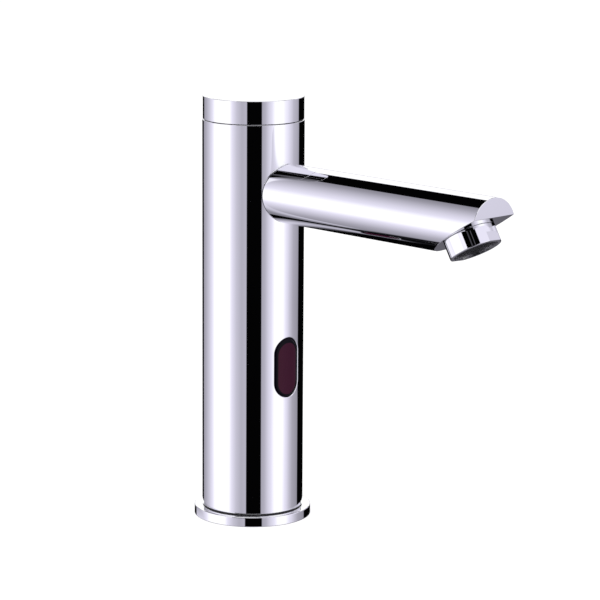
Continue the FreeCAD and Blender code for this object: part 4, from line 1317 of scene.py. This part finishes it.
@dataclass
class Tip:
    """The slanted face of the spout and the aerator's place on it."""

    spout_height: float = 147.9
    spout_radius: float = 13.05
    slant: float = 30.8
    start: float = 112.9
    along: float = 18.8
    seat_depth: float = 7.0

    def angle(self) -> float:
        """Return the slant in radians."""
        return math.radians(self.slant)

    def out(self) -> np.ndarray:
        """Return the direction square to the slanted face."""
        return np.array((0, -math.sin(self.angle()), -math.cos(self.angle())))

    def forward(self) -> np.ndarray:
        """Return the direction up the slanted face, away from the column."""
        return np.array((0, -math.cos(self.angle()), math.sin(self.angle())))

    def heel(self) -> np.ndarray:
        """Return the lowest point of the slanted face."""
        return np.array((0, -self.start, self.spout_height - self.spout_radius))

    def place(self) -> np.ndarray:
        """Return the matrix of the aerator's own space, with Z out of the seat from its far end."""
        origin = self.heel() + self.along * self.forward() - self.seat_depth * self.out()
        return placed((1, 0, 0), self.forward(), self.out(), origin)


@dataclass
class Spout:
    """The spout: a round tube saddled to the column, with a slanted tip bored for the aerator."""

    tip: Tip
    column: float = 22.5
    gap: float = 0.45
    reach: float = 142.8
    edge: float = 0.25
    root_edge: float = 0.5
    # the dark ring in the saddle's gap is painted shade for that gap
    shade_ring_play: float = 0.3
    shade_ring_steps: int = 96
    shade_ring_rows: int = 4
    neck_depth: float = 4.0
    neck_lap: float = 0.3
    spigot: float = 8.5
    spigot_end: float = 12.8
    spigot_bore: float = 6.45
    spigot_chamfer: float = 0.4
    thread_depth: float = 0.5
    pitch: float = 1.0
    bore_end: float = 29.0
    seat: float = 10.05
    outlet: float = 6.0
    outlet_depth: float = 4.0
    outlet_edge: float = 0.5
    around: int = ROUND_SIDES
    rows: int = 36
    saddle_rows: int = 6
    corner_steps: int = 6
    corner_columns: int = 16

    def axis(self) -> np.ndarray:
        """Return where the spout's axis meets the column's."""
        return np.array((0, 0, self.tip.spout_height))

    def build(self) -> None:
        """Build the spout and the dark ring of painted shade in its saddle."""
        skin = Skin()
        angles, ends = self._stations()
        radial = self._radial(angles)
        front = self.axis() + (self.tip.spout_radius - self.edge) * radial
        front[:, 1] = -self._front(angles)
        rounding = rolled(front, radial, ends, self.edge)
        skin.grid(*rounding)
        root = self._root(skin, radial)
        skin.grid(*bridge(root, rounding[0][0], radial, self.rows))
        self._tip_faces(skin, ends, front, rounding[0][-1])
        self._seat(skin)
        skin.build("spout_tube", Finishes.CHROME, "root", ("spout",))
        self._saddle_shade_ring()

    @staticmethod
    def _radial(angles: np.ndarray) -> np.ndarray:
        """Return the directions out of the spout at angles from its underside."""
        return np.stack([np.sin(angles), 0 * angles, -np.cos(angles)], axis=-1)

    def _front(self, angles: np.ndarray) -> np.ndarray:
        """Return how far forward the edge's rounding has its centre at each angle from the underside.

        Args:
            angles: the angles, in radians.

        Returns:
            Distances from the column's axis.
        """
        slant, edge, radius = self.tip.angle(), self.edge, self.tip.spout_radius
        rise = radius - (radius - edge) * np.cos(angles)
        mitre = self.tip.start - (edge - math.cos(slant) * rise) / math.sin(slant)
        return np.minimum(mitre, self.reach - edge)

    def _stations(self) -> Grid:
        """Return where the spout's skin starts and ends.

        Returns:
            Angles round the spout, and at each the direction of the face that ends it there.
        """
        slant, edge, radius = self.tip.angle(), self.edge, self.tip.spout_radius
        rise = (edge + math.sin(slant) * (self.reach - edge - self.tip.start)) / math.cos(slant)
        corner = math.acos((radius - rise) / (radius - edge))
        under, end = self.tip.out(), np.array((0.0, -1.0, 0.0))
        share = np.linspace(0, 1, self.corner_steps + 1)
        turn = np.array([swing(under, end, part) for part in share])
        low = np.linspace(-corner, corner, self.around // 2 + 1)
        high = np.linspace(corner, FULL_TURN - corner, self.around // 2 + 1)
        angles = np.concatenate([low, 0 * share + corner, high, 0 * share + FULL_TURN - corner])
        ends = np.concatenate([np.tile(under, (len(low), 1)), turn, np.tile(end, (len(high), 1)), turn[::-1]])
        return angles, ends

    def _root(self, skin: Skin, radial: np.ndarray) -> np.ndarray:
        """Add the saddle end with its spigot.

        Args:
            skin: the spout's mesh.
            radial: the directions round the spout.

        Returns:
            The line where the spout's round side starts.
        """
        edge, saddle, axis = self.root_edge, self.column + self.gap, self.axis()
        centre = saddled(axis + (self.tip.spout_radius - edge) * radial, saddle + edge)
        spots, ways = rolled(centre, radial, -unit(centre * (1, 1, 0)), edge)
        skin.grid(spots, ways)
        share = np.linspace(0, 1, self.saddle_rows + 1)[:, None, None]
        flat = spots[-1] * (1 - share) + (axis + self.spigot * radial) * share
        flat[1:] = saddled(flat[1:], saddle)
        skin.grid(flat, -unit(flat * (1, 1, 0)))
        start, end = self.neck_depth - self.column, -self.spigot_end
        stub = flat[-1].copy()
        stub[:, 1] = start
        skin.grid(*bridge(flat[-1], stub, radial))
        plug = Skin(placed((-1, 0, 0), (0, 0, 1), (0, 1, 0), axis))
        crest, core, run_out = self.spigot, self.spigot - self.thread_depth, end - self.thread_depth
        plug.lathe(Profile(((crest, start - self.neck_lap, 0), (crest, start, 0), (core, start, 0))))
        plug.thread(crest, core, start, run_out, self.pitch)
        plug.lathe(Profile((
            (core, run_out, 0), (core - self.spigot_chamfer, end, 0), (self.spigot_bore, end, SMALL_EDGE),
            (self.spigot_bore, -self.bore_end, 0), (0, -self.bore_end, 0),
        )))
        plug.build("spout_spigot", Finishes.BRASS, "root")
        return spots[0]

    def _tip_faces(self, skin: Skin, ends: np.ndarray, centres: np.ndarray, rim: np.ndarray) -> None:
        """Add the end face, the slanted face and the edge between them.

        Args:
            skin: the spout's mesh.
            ends: the end direction at each station round the spout.
            centres: the rounding's centres.
            rim: the rounding's line on the two faces.
        """
        half, steps = self.around // 2, self.corner_steps
        one, two = half + 1, 2 * (half + 1) + steps
        share = np.linspace(0, 1, self.corner_columns + 1)[:, None]
        middle = centres[one] * (1 - share) + centres[two + 1] * share
        ways = ends[one:one + steps + 1]
        spots = middle[None] + self.edge * ways[:, None]
        skin.grid(spots, np.broadcast_to(ways[:, None], spots.shape))
        under = np.concatenate([rim[:half], spots[0][:-1]])
        end = np.concatenate([rim[one + steps + 1:two], spots[-1][::-1][:-1]])
        place = self.tip.place()
        back = np.linalg.inv(place)
        flat = (under @ back[:3, :3].T + back[:3, 3])[:, :2]
        pocket = Outline.circle(self.around).ways[:-1] * (self.seat + self.edge)

        def on_slant(points: np.ndarray) -> Grid:
            """Put flat points on the slanted face."""
            spots = raised(points, self.tip.seat_depth) @ place[:3, :3].T + place[:3, 3]
            return spots, np.tile(self.tip.out(), (len(points), 1))

        def on_end(points: np.ndarray) -> Grid:
            """Put flat points on the end face."""
            return stood(points, -self.reach), np.tile((0.0, -1.0, 0.0), (len(points), 1))

        skin.sheet([flat, pocket], on_slant, [under, on_slant(pocket)[0]])
        skin.sheet([end[:, ::2]], on_end, [end])

    def _seat(self, skin: Skin) -> None:
        """Add the aerator's seat and the waterway at its far end.

        Args:
            skin: the spout's mesh.
        """
        skin.place = self.tip.place()
        depth, edge, bottom = self.tip.seat_depth, self.edge, -self.outlet_depth
        skin.lathe(Profile((
            (self.seat + edge, depth, 0), (self.seat, depth - edge, 0), (self.seat, 0, SMALL_EDGE),
            (self.outlet, 0, SMALL_EDGE), (self.outlet, bottom, self.outlet_edge), (0, bottom, 0),
        )), self.around)

    def _saddle_shade_ring(self) -> None:
        """Build the thin dark ring, painted shade for the gap, that follows the column under the spout's end.
        """
        skin = Skin()
        radial = self._radial(round_angles(self.shade_ring_steps))
        inner, outer = self.spigot + self.shade_ring_play, self.tip.spout_radius - self.root_edge
        loops = {
            (name, side): saddled(self.axis() + radius * radial, reach)
            for name, radius in (("in", inner), ("out", outer))
            for side, reach in (("back", self.column), ("front", self.column + self.gap))
        }
        for name, sign in (("out", 1), ("in", -1)):
            skin.grid(*bridge(loops[name, "back"], loops[name, "front"], sign * radial))
        for side, sign in (("back", -1), ("front", 1)):
            ways = sign * unit(loops["out", side] * (1, 1, 0))
            skin.grid(*bridge(loops["out", side], loops["in", side], ways, self.shade_ring_rows))
        skin.build("saddle_shade_ring", Finishes.RUBBER, "root")


@dataclass
class Aerator:
    """The aerator: a chromed threaded sleeve with two spanner flats, and its plastic honeycomb."""

    tip: Tip
    bore: float = 8.55
    start: float = 1.35
    thread: float = 9.95
    thread_root: float = 9.3
    thread_pitch: float = 1.0
    run_out: float = 0.5
    collar: float = 11.2
    collar_start: float = 7.05
    collar_chamfer: float = 0.3
    collar_edge: float = 0.25
    rim: float = 15.0
    rim_width: float = 0.6
    flats: float = 10.6
    flat_start: float = 10.8
    flat_turn: float = -8.0
    mouth: float = 9.6
    shoulder: float = 8.25
    edge: float = 0.35
    face: float = 14.2
    grid_depth: float = 5.0
    play: float = 0.05
    neck_start: float = 1.0
    neck_play: float = 0.06
    chamber_wall: float = 0.75
    cell_margin: float = 0.5
    pitch: float = 1.55
    cell_wall: float = 0.34
    sides: int = 120

    def build(self) -> None:
        """Build the sleeve and the insert."""
        self._sleeve()
        self._insert()

    def _sleeve(self) -> None:
        """Build the threaded sleeve with its collar."""
        skin = Skin(self.tip.place())
        outline = Outline.flatted(self.collar, self.flats, math.radians(self.flat_turn))
        ways = unit(outline.points)
        round_line, sides = Outline(ways * self.collar, ways), len(ways) - 1
        up, fine, root = np.array((0.0, 0.0, 1.0)), FINE_EDGE, self.thread_root
        low, high, collar = self.start + self.run_out, self.collar_start - self.run_out, self.collar_start
        skin.lathe(Profile((
            (self.mouth, self.rim, 0), (self.mouth, self.shoulder, fine), (self.bore, self.shoulder, fine),
            (self.bore, self.start, fine), (root, self.start, fine), (root, low, 0),
        )), sides)
        skin.thread(self.thread, root, low, high, self.thread_pitch)
        chamfer = self.collar_chamfer
        skin.lathe(Profile(((root, high, 0), (root, collar, 0), (self.collar - chamfer, collar, 0))), sides)
        section = ((-chamfer, collar, 0), (0, collar, self.collar_edge), (0, self.flat_start, 0))
        skin.loft(round_line, Profile(section))
        skin.grid(*bridge(*(raised(line.points, self.flat_start) for line in (outline, round_line)), up))
        section = ((0, self.flat_start, 0), (0, self.rim, self.edge), (-self.rim_width, self.rim, 0))
        skin.loft(outline, Profile(section))
        edge = outline.points - self.rim_width * outline.ways
        inner = round_line.points * (self.mouth / self.collar)
        skin.grid(*bridge(*(raised(line, self.rim) for line in (edge, inner)), up))
        skin.build("aerator_sleeve", Finishes.CHROME, "aerator", ("aerator_housing",))

    def _insert(self) -> None:
        """Build the insert with its honeycomb of fine cells."""
        skin = Skin(self.tip.place())
        face, back, outer = self.face, self.face - self.grid_depth, self.mouth - self.play
        edge, inner = SMALL_EDGE, outer - SMALL_EDGE
        rim = Outline.circle(self.sides).ways[:-1] * inner
        size = (self.pitch - self.cell_wall) / math.sqrt(3)
        cells = [Outline.hexagon(size, at) for at in self._cell_spots()]
        for height, side in ((face, 1.0), (back, -1.0)):
            skin.sheet([rim, *(cell.points[:-1:2] for cell in cells)], level(height, side))
        for cell in cells:
            skin.loft(Outline(cell.points, -cell.ways), Profile(((0, back, 0), (0, face, 0))))
        section = ((inner, back, 0), (outer, back + edge, 0), (outer, face - edge, 0), (inner, face, 0))
        skin.lathe(Profile(section), self.sides)
        neck, chamber = self.bore - self.neck_play, self.bore - self.chamber_wall
        skin.lathe(tube_profile(chamber, neck, self.start + self.neck_start, back - self.play, FINE_EDGE))
        skin.build("aerator_honeycomb", Finishes.AERATOR_PLASTIC, "aerator", ("aerator_insert",))

    def _cell_spots(self) -> list[Point2]:
        """Return where the honeycomb's cells are.

        Returns:
            The middles of the cells that fit in the mouth.
        """
        rings = int(self.mouth / self.pitch) + 1
        spots = [
            (self.pitch * (column + 0.5 * (row % 2)), self.pitch * math.sqrt(3) / 2 * row)
            for row in range(-rings, rings + 1)
            for column in range(-rings, rings + 1)
        ]
        return [spot for spot in spots if math.hypot(*spot) < self.mouth - self.cell_margin - self.pitch / 2]


# valve inside the column ------------------------------------------------------------------------


def shorten(piece: bpy.types.Object) -> None:
    """Give a piece its own copy of its mesh.

    Args:
        piece: the piece.
    """
    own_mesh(piece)


def shifted(middle: Point2) -> np.ndarray:
    """Return the matrix of a space whose Z axis stands at a place on the deck."""
    return placed((1, 0, 0), (0, 1, 0), (0, 0, 1), (*middle, 0))


@dataclass
class Spring:
    """A compression spring of round wire with closed ends, of which the upper one stands still."""

    name: str
    node: str
    joint: str
    travel: float
    middle: Point2
    ends: Point2
    radius: float
    turns: int
    wire: float = 0.25
    seat: float = 0.3
    closed_rise: float = 0.56
    steps_in_turn: int = 28
    sides: int = 12

    def build(self) -> None:
        """Build the wire, and give it its own copy of its mesh."""
        start, end = self.ends[0] + self.seat, self.ends[1] - self.seat
        turn = np.linspace(0, self.turns, self.steps_in_turn * self.turns + 1)
        open_rise = (end - start - 2 * self.closed_rise) / (self.turns - 2)
        rise = np.where((turn < 1) | (turn > self.turns - 1), self.closed_rise, open_rise)
        height = np.concatenate([[0], np.cumsum((rise[1:] + rise[:-1]) / 2)])
        height = start + height * ((end - start) / height[-1])
        angle = FULL_TURN * turn
        out = np.stack([np.cos(angle), np.sin(angle), 0 * angle], axis=-1)
        line = self.radius * out + height[:, None] * (0, 0, 1)
        along = unit(np.gradient(line, axis=0))
        side = unit(np.cross(along, out))
        section = round_angles(self.sides)[:, None, None]
        ways = np.cos(section) * out + np.sin(section) * side
        skin = Skin(shifted(self.middle))
        skin.grid(line + self.wire * ways, ways)
        for spot, way, loop in ((line[0], -along[0], ways[:, 0]), (line[-1], along[-1], ways[:, -1])):
            rim = spot + self.wire * loop
            skin.grid(*bridge(rim, np.broadcast_to(spot, rim.shape), way))
        made = skin.build(self.name, Finishes.STEEL, "root", (self.node,))
        shorten(made)


@dataclass
class Membrane:
    """The rubber membrane: a clamped bead, a thin web and a thick pad that lifts off the seat."""

    middle: Point2 = VALVE_MIDDLE
    hole: float = 1.2
    pad: float = 5.4
    shoulder: float = 5.8
    bead: float = 9.6
    radius: float = 10.6
    heights: tuple[float, ...] = (115.05, 115.65, 116.2, 116.6, 117.0)
    rim: float = 0.15
    lift: float = 1.2

    def build(self) -> None:
        """Build the membrane, and give it its own copy of its mesh."""
        skin = Skin(shifted(self.middle))
        low, web_low, web_top, pad_top, top = self.heights
        edge, rim = FINE_EDGE, self.rim
        skin.lathe(Profile((
            (self.hole, low, edge), (self.pad, low, edge), (self.shoulder, web_low, edge),
            (self.radius, web_low, rim), (self.radius, top, rim), (self.bead, top, rim),
            (self.bead, web_top, rim), (self.shoulder, web_top, edge), (self.pad, pad_top, edge),
            (self.hole, pad_top, edge),
        ), True), 72, 3)
        made = skin.build("valve_membrane", Finishes.RUBBER, "root", ("diaphragm",))
        shorten(made)


# studio -----------------------------------------------------------------------------------------


@dataclass
class Camera:
    """The photographer's camera: where it stands about the tap and how it is aimed."""

    azimuth: float = -43.28
    elevation: float = 11.51
    distance: float = 1295.3
    aim_height: float = 95.0
    aim_pixel: Point2 = (252.99, 305.03)
    roll: float = 0.17
    focal_pixels: float = 2913.4
    frame_pixels: float = 600.0
    sensor: float = 36.0
    clip: Point2 = (0.01, 50)

    def back(self) -> Vector:
        """Return the direction from the tap to the camera."""
        turn, rise = math.radians(self.azimuth), math.radians(self.elevation)
        return Vector((math.sin(turn) * math.cos(rise), -math.cos(turn) * math.cos(rise), math.sin(rise)))

    def right(self) -> Vector:
        """Return the level direction to the right in the picture."""
        return Vector(heading(self.azimuth))

    def build(self) -> None:
        """Make the camera and set it as the scene's."""
        back, right = self.back(), self.right()
        upright = Matrix((right, back.cross(right), back))
        middle = self.frame_pixels / 2
        u, v = ((pixel - middle) / self.focal_pixels for pixel in self.aim_pixel)
        sight = Vector((u, -v, -1)).normalized()
        aim = Vector((0, 0, -1)).rotation_difference(sight).to_matrix()
        roll = Matrix.Rotation(math.radians(self.roll), 3, sight)
        turn = (roll @ aim @ upright).transposed()
        data = bpy.data.cameras.new("camera")
        data.sensor_width = self.sensor
        data.lens = self.focal_pixels * self.sensor / self.frame_pixels
        data.clip_start, data.clip_end = self.clip
        camera = linked("camera", data)
        place = Vector((0, 0, self.aim_height)) + back * self.distance
        camera.matrix_world = Matrix.Translation(place * MM) @ turn.to_4x4()
        bpy.context.scene.camera = camera


@dataclass(frozen=True)
class Lightbox:
    """A tall soft light: its level at a row of angles, in degrees to the right of the camera."""

    levels: tuple[Point2, ...]

    def stops(self, dark: float, edge: float) -> list[Point2]:
        """Return the levels with dark just outside the light's edges."""
        first, last = self.levels[0][0], self.levels[-1][0]
        return [(first - edge, dark), *self.levels, (last + edge, dark)]


@dataclass(frozen=True)
class Patch:
    """A patch of the tent: its level, and its spread in degrees, sideways from the camera and upwards.

    A spread is where the patch starts and where it is full, and then, if it ends, where it starts to fade
    and where it is gone. No spread stands for all round.
    """

    level: float
    sides: tuple[float, ...]
    heights: tuple[float, ...]

    def lit(self, side: Wire, height: Wire) -> Wire:
        """Return the brightness in each direction, its level inside the patch and 0 outside."""
        lit = self.level * height.across(self.heights)
        return lit * side.across(self.sides) if self.sides else lit


@dataclass
class Studio:
    """A white tent with two tall lights, a dark gap for the camera and dark flags behind the tap.

    Angles are in degrees: sideways from the camera, and upwards from the level.
    """

    camera: Camera
    left_light: Lightbox = Lightbox((
        (-151, 0.36), (-135, 0.45), (-120, 0.63), (-107, 0.87), (-96, 1.04), (-86, 1.12),
        (-60, 1.12), (-46, 0.8), (-38, 0.62), (-26, 0.48), (-15, 0.52),
    ))
    right_light: Lightbox = Lightbox((
        (19.4, 0.42), (27, 0.5), (36, 0.74), (44, 0.9), (52, 1.04), (58, 1.1),
        (67, 1.08), (74, 0.98), (84, 0.82), (93, 0.6), (103, 0.42), (124, 0.31),
    ))
    edge: float = 0.5
    dark: float = 0.001

    # how the two lights fade upwards and downwards
    above: Point2 = (3, 43)
    above_loss: float = 0.5
    below: Point2 = (-14, -40)
    below_loss: float = 0.45
    low_end: Point2 = (-46.4, -45.4)
    low_end_rest: float = 0.02
    top_end: Point2 = (48, 52)
    right_rise: Point2 = (-11.5, -7.5)
    right_rise_sides: tuple[float, ...] = (74, 102, 116, 144)
    right_rise_gain: float = 0.32

    # what stands in front of them and over the camera
    flank: Patch = Patch(0.95, (-80.5, -79.5, -41.5, -40.5), (0, 10, 36, 42))
    corner: Patch = Patch(0.95, (-150, -146, -102, -98), (-24.5, -23.5, -16, -15))
    right_end: Patch = Patch(0.58, (108, 112, 144, 148), (-5, -1, 22, 26))
    right_end_rise: Patch = Patch(0.22, (124, 138, 144, 148), (-5, -1, 22, 26))
    gap: Patch = Patch(1.0, (-41.5, -40.5, -14.5, -13.5), (7, 9, 42, 44))
    shade: Patch = Patch(0.6, (-99, -91, -18, -10), (38, 43))
    sheet: Patch = Patch(1.0, (19, 21, 139, 141), (15, 30))
    sheet_level: float = 0.88
    sheet_top: Point2 = (42.5, 43.5)
    thin_stand: Patch = Patch(0.06, (-22.5, -21.5, -17.5, -16.5), (21.5, 22.5, 42.5, 43.5))
    near_stand: Patch = Patch(0.09, (-7.5, -6.5, -4.5, -3.5), (21.5, 22.5, 42.5, 43.5))

    # the backdrop, the ceiling and the deck
    front: float = 150.0
    front_loss: float = 22.0
    front_loss_heights: Point2 = (24, 28)
    wall: Patch = Patch(1.12, (), (3.5, 4.5, 35, 36))
    skirting: Patch = Patch(0.6, (), (-6.5, -5.5, 3.5, 4.5))
    right_floor: Patch = Patch(0.13, (), (-41, -39, -28, -26))
    ceiling: Point2 = (52, 56)
    deck_level: float = 0.42
    deck: Point2 = (-54, -50)

    # the tent's colours, and its plain level for matt surfaces
    tint: Colour = (0.985, 0.95, 1.13)
    white_levels: Point2 = (0.85, 1.1)
    white: Colour = (1.15, 1.15, 1.15)
    background: Colour = (1.0, 1.0, 1.0)
    diffuse_level: float = 0.85

    # the key light and the floor, in metres and watts
    key_place: Point3 = (-1.3, -1.0, 1.6)
    key_aim: Point3 = (0, -0.04, 0.1)
    key_size: float = 1.2
    key_power: float = 21.0
    floor_half: float = 6.0
    floor_drop: float = 0.0001
    floor_colour: Colour = (0.62, 0.62, 0.62)
    floor_glow: float = 0.5

    def build(self) -> None:
        """Make the world, the key light and the floor."""
        self._world()
        self._key()
        self._floor()
        bpy.context.scene.view_settings.view_transform = "Standard"

    def _world(self) -> None:
        """Make the world: white for the camera, the tent for gloss, and plain for matt surfaces."""
        world = bpy.data.worlds.new("tent")
        bpy.context.scene.world = world
        world.cycles.sampling_method = "NONE"
        world.use_nodes = True
        recipe = Recipe(world.node_tree)
        level = self._tent_level(recipe)
        grey = recipe.node(
            "ShaderNodeVectorMath", {"operation": "SCALE"}, {0: self.tint, "Scale": level}
        )
        tent = recipe.blend(level.step(*self.white_levels), grey, self.white)
        camera, glossy, through = (
            recipe.node("ShaderNodeLightPath", output=f"Is {kind} Ray")
            for kind in ("Camera", "Glossy", "Transmission")
        )
        seen = recipe.blend((glossy + through).held(), (self.diffuse_level,) * 3, tent)
        shown = recipe.blend(camera, seen, self.background)
        light = recipe.node("ShaderNodeBackground", None, {"Color": shown, "Strength": 1.0})
        recipe.node("ShaderNodeOutputWorld", None, {"Surface": light})

    def _tent_level(self, recipe: Recipe) -> Wire:
        """Return the brightness of the tent in each direction.

        Args:
            recipe: the world's node tree.

        Returns:
            The brightness.
        """
        way = recipe.node("ShaderNodeTexCoord", output="Generated")

        def along(direction: Vector) -> Wire:
            """Return the part of the direction along another."""
            inputs = {0: way, 1: tuple(direction)}
            return recipe.node("ShaderNodeVectorMath", {"operation": "DOT_PRODUCT"}, inputs, output="Value")

        level_back = self.camera.back()
        level_back.z = 0
        degrees = 180 / math.pi
        side = along(self.camera.right()).maths("ARCTAN2", along(level_back.normalized())) * degrees
        height = recipe.axis(way, "Z").maths("ARCSINE") * degrees
        lights = self._round_the_tap(recipe, side) * self._up_the_lights(side, height)
        lights = self._over_the_lights(lights, side, height)
        narrowed = abs(side) + self.front_loss * height.step(*self.front_loss_heights)
        front = narrowed < self.front
        deck = self.deck_level * (1 - height.step(*self.deck))
        behind = self._behind_the_tap(side, height)
        return lights * front + behind * (1 - front) + height.step(*self.ceiling) + deck

    def _round_the_tap(self, recipe: Recipe, side: Wire) -> Wire:
        """Return the two lights' brightness by the angle from the camera.

        Args:
            recipe: the world's node tree.
            side: degrees to the right of the camera.

        Returns:
            The brightness.
        """
        ramp = [
            ((angle + 180) / 360, (level,) * 3)
            for light in (self.left_light, self.right_light)
            for angle, level in light.stops(self.dark, self.edge)
        ]
        return recipe.node("ShaderNodeValToRGB", {"stops": ramp}, {0: (side + 180) / 360})

    def _up_the_lights(self, side: Wire, height: Wire) -> Wire:
        """Return how the lights fade upwards and downwards, and what the right one gains at its far side.

        Args:
            side: degrees to the right of the camera.
            height: degrees above the level.

        Returns:
            What their brightness is multiplied with.
        """
        above = 1 - self.above_loss * height.ramp(*self.above) * (side < 0)
        below = 1 - self.below_loss * height.ramp(*self.below)
        rise = 1 + self.right_rise_gain * height.ramp(*self.right_rise) * side.across(self.right_rise_sides)
        low_end = self.low_end_rest + (1 - self.low_end_rest) * height.step(*self.low_end)
        return above * below * rise * low_end * (1 - height.step(*self.top_end))

    def _over_the_lights(self, lights: Wire, side: Wire, height: Wire) -> Wire:
        """Return the lights with what stands before them.

        White are a flank on the left, a corner low on the left and an end on the right. A dark gap and a
        shade cover the left light's top, a grey sheet covers the right one's, and two thin stands show
        beside the camera.

        Args:
            lights: the two lights' brightness.
            side: degrees to the right of the camera.
            height: degrees above the level.

        Returns:
            The brightness with them.
        """
        end = self.right_end.lit(side, height) + self.right_end_rise.lit(side, height)
        for white in (self.flank.lit(side, height), self.corner.lit(side, height), end):
            lights = lights.maths("MAXIMUM", white)
        sheet = self.sheet.lit(side, height)
        for cover in (self.gap.lit(side, height), self.shade.lit(side, height), sheet):
            lights = lights * (1 - cover)
        lights = lights + self.sheet_level * sheet * (1 - height.step(*self.sheet_top))
        return lights + self.thin_stand.lit(side, height) + self.near_stand.lit(side, height)

    def _behind_the_tap(self, side: Wire, height: Wire) -> Wire:
        """Return the backdrop: a white wall, grey skirting at the level and a faint floor on the right."""
        floor = self.right_floor.lit(side, height) * (side > 0)
        return floor + self.skirting.lit(side, height) + self.wall.lit(side, height) + self.dark

    def _key(self) -> None:
        """Hang the soft key light, which the chrome doesn't mirror."""
        data = bpy.data.lights.new("key", "AREA")
        data.shape = "DISK"
        data.size = self.key_size
        data.energy = self.key_power
        key = linked("key", data)
        key.location = self.key_place
        key.rotation_mode = "QUATERNION"
        key.rotation_quaternion = (key.location - Vector(self.key_aim)).to_track_quat("Z", "Y")
        key.visible_glossy = False

    def _floor(self) -> None:
        """Lay the pale floor, which keeps the tap's shadow."""
        half, low = self.floor_half, -self.floor_drop
        mesh = bpy.data.meshes.new("floor")
        edge = [(half * x, half * y, low) for x, y in ((-1, -1), (1, -1), (1, 1), (-1, 1))]
        mesh.from_pydata(edge, [], [(0, 1, 2, 3)])
        floor = linked("floor", mesh)
        material = bpy.data.materials.new("floor")
        material.use_nodes = True
        recipe = Recipe(material.node_tree)
        seen = recipe.node("ShaderNodeLightPath", output="Is Camera Ray")
        matt = recipe.node("ShaderNodeBsdfDiffuse", None, {"Color": self.floor_colour})
        inputs = {"Color": (1.0, 1.0, 1.0), "Strength": self.floor_glow * seen}
        glow = recipe.node("ShaderNodeEmission", None, inputs)
        both = recipe.node("ShaderNodeAddShader", None, {0: matt, 1: glow})
        recipe.node("ShaderNodeOutputMaterial", None, {"Surface": both})
        mesh.materials.append(material)
        floor.visible_glossy = False


# whole tap --------------------------------------------------------------------------------------


def corners(box: tuple[Vector, Vector]) -> list[list[float]]:
    """Return a box's two corners as plain lists."""
    return [[float(value) for value in corner] for corner in box]


def dress_nodes(frame: dict) -> None:
    """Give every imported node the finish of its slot.
    """
    finishes = {finish.value.name: finish.value for finish in Finishes}
    slots = {part["node"]: part["material_slot"] for part in frame["record"]["subparts"]}
    for name, node in frame["nodes"].items():
        node.data.materials.clear()
        node.data.materials.append(finishes[slots[name]].material())


def main() -> None:
    """Load the frame, and build the pieces and the studio."""
    logging.basicConfig(level=logging.INFO, format="%(name)s: %(message)s")
    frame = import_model()
    dress_nodes(frame)
    for whole in (Column(), Foot(), Cap(), SensorEye()):
        whole.build()
    tip = Tip()
    Spout(tip).build()
    Aerator(tip).build()
    Spring(
        "check_spring", "check_valve_spring", "poppet_lift", 3.0, INLET_MIDDLE, (14.8, 26.0), 2.0, 8
    ).build()
    Spring(
        "plunger_return", "plunger_spring", "plunger_travel", 2.0, VALVE_MIDDLE, (133.0, 146.0), 1.45, 12
    ).build()
    Membrane().build()
    camera = Camera()
    Studio(camera).build()
    camera.build()


if __name__ == "__main__":
    main()
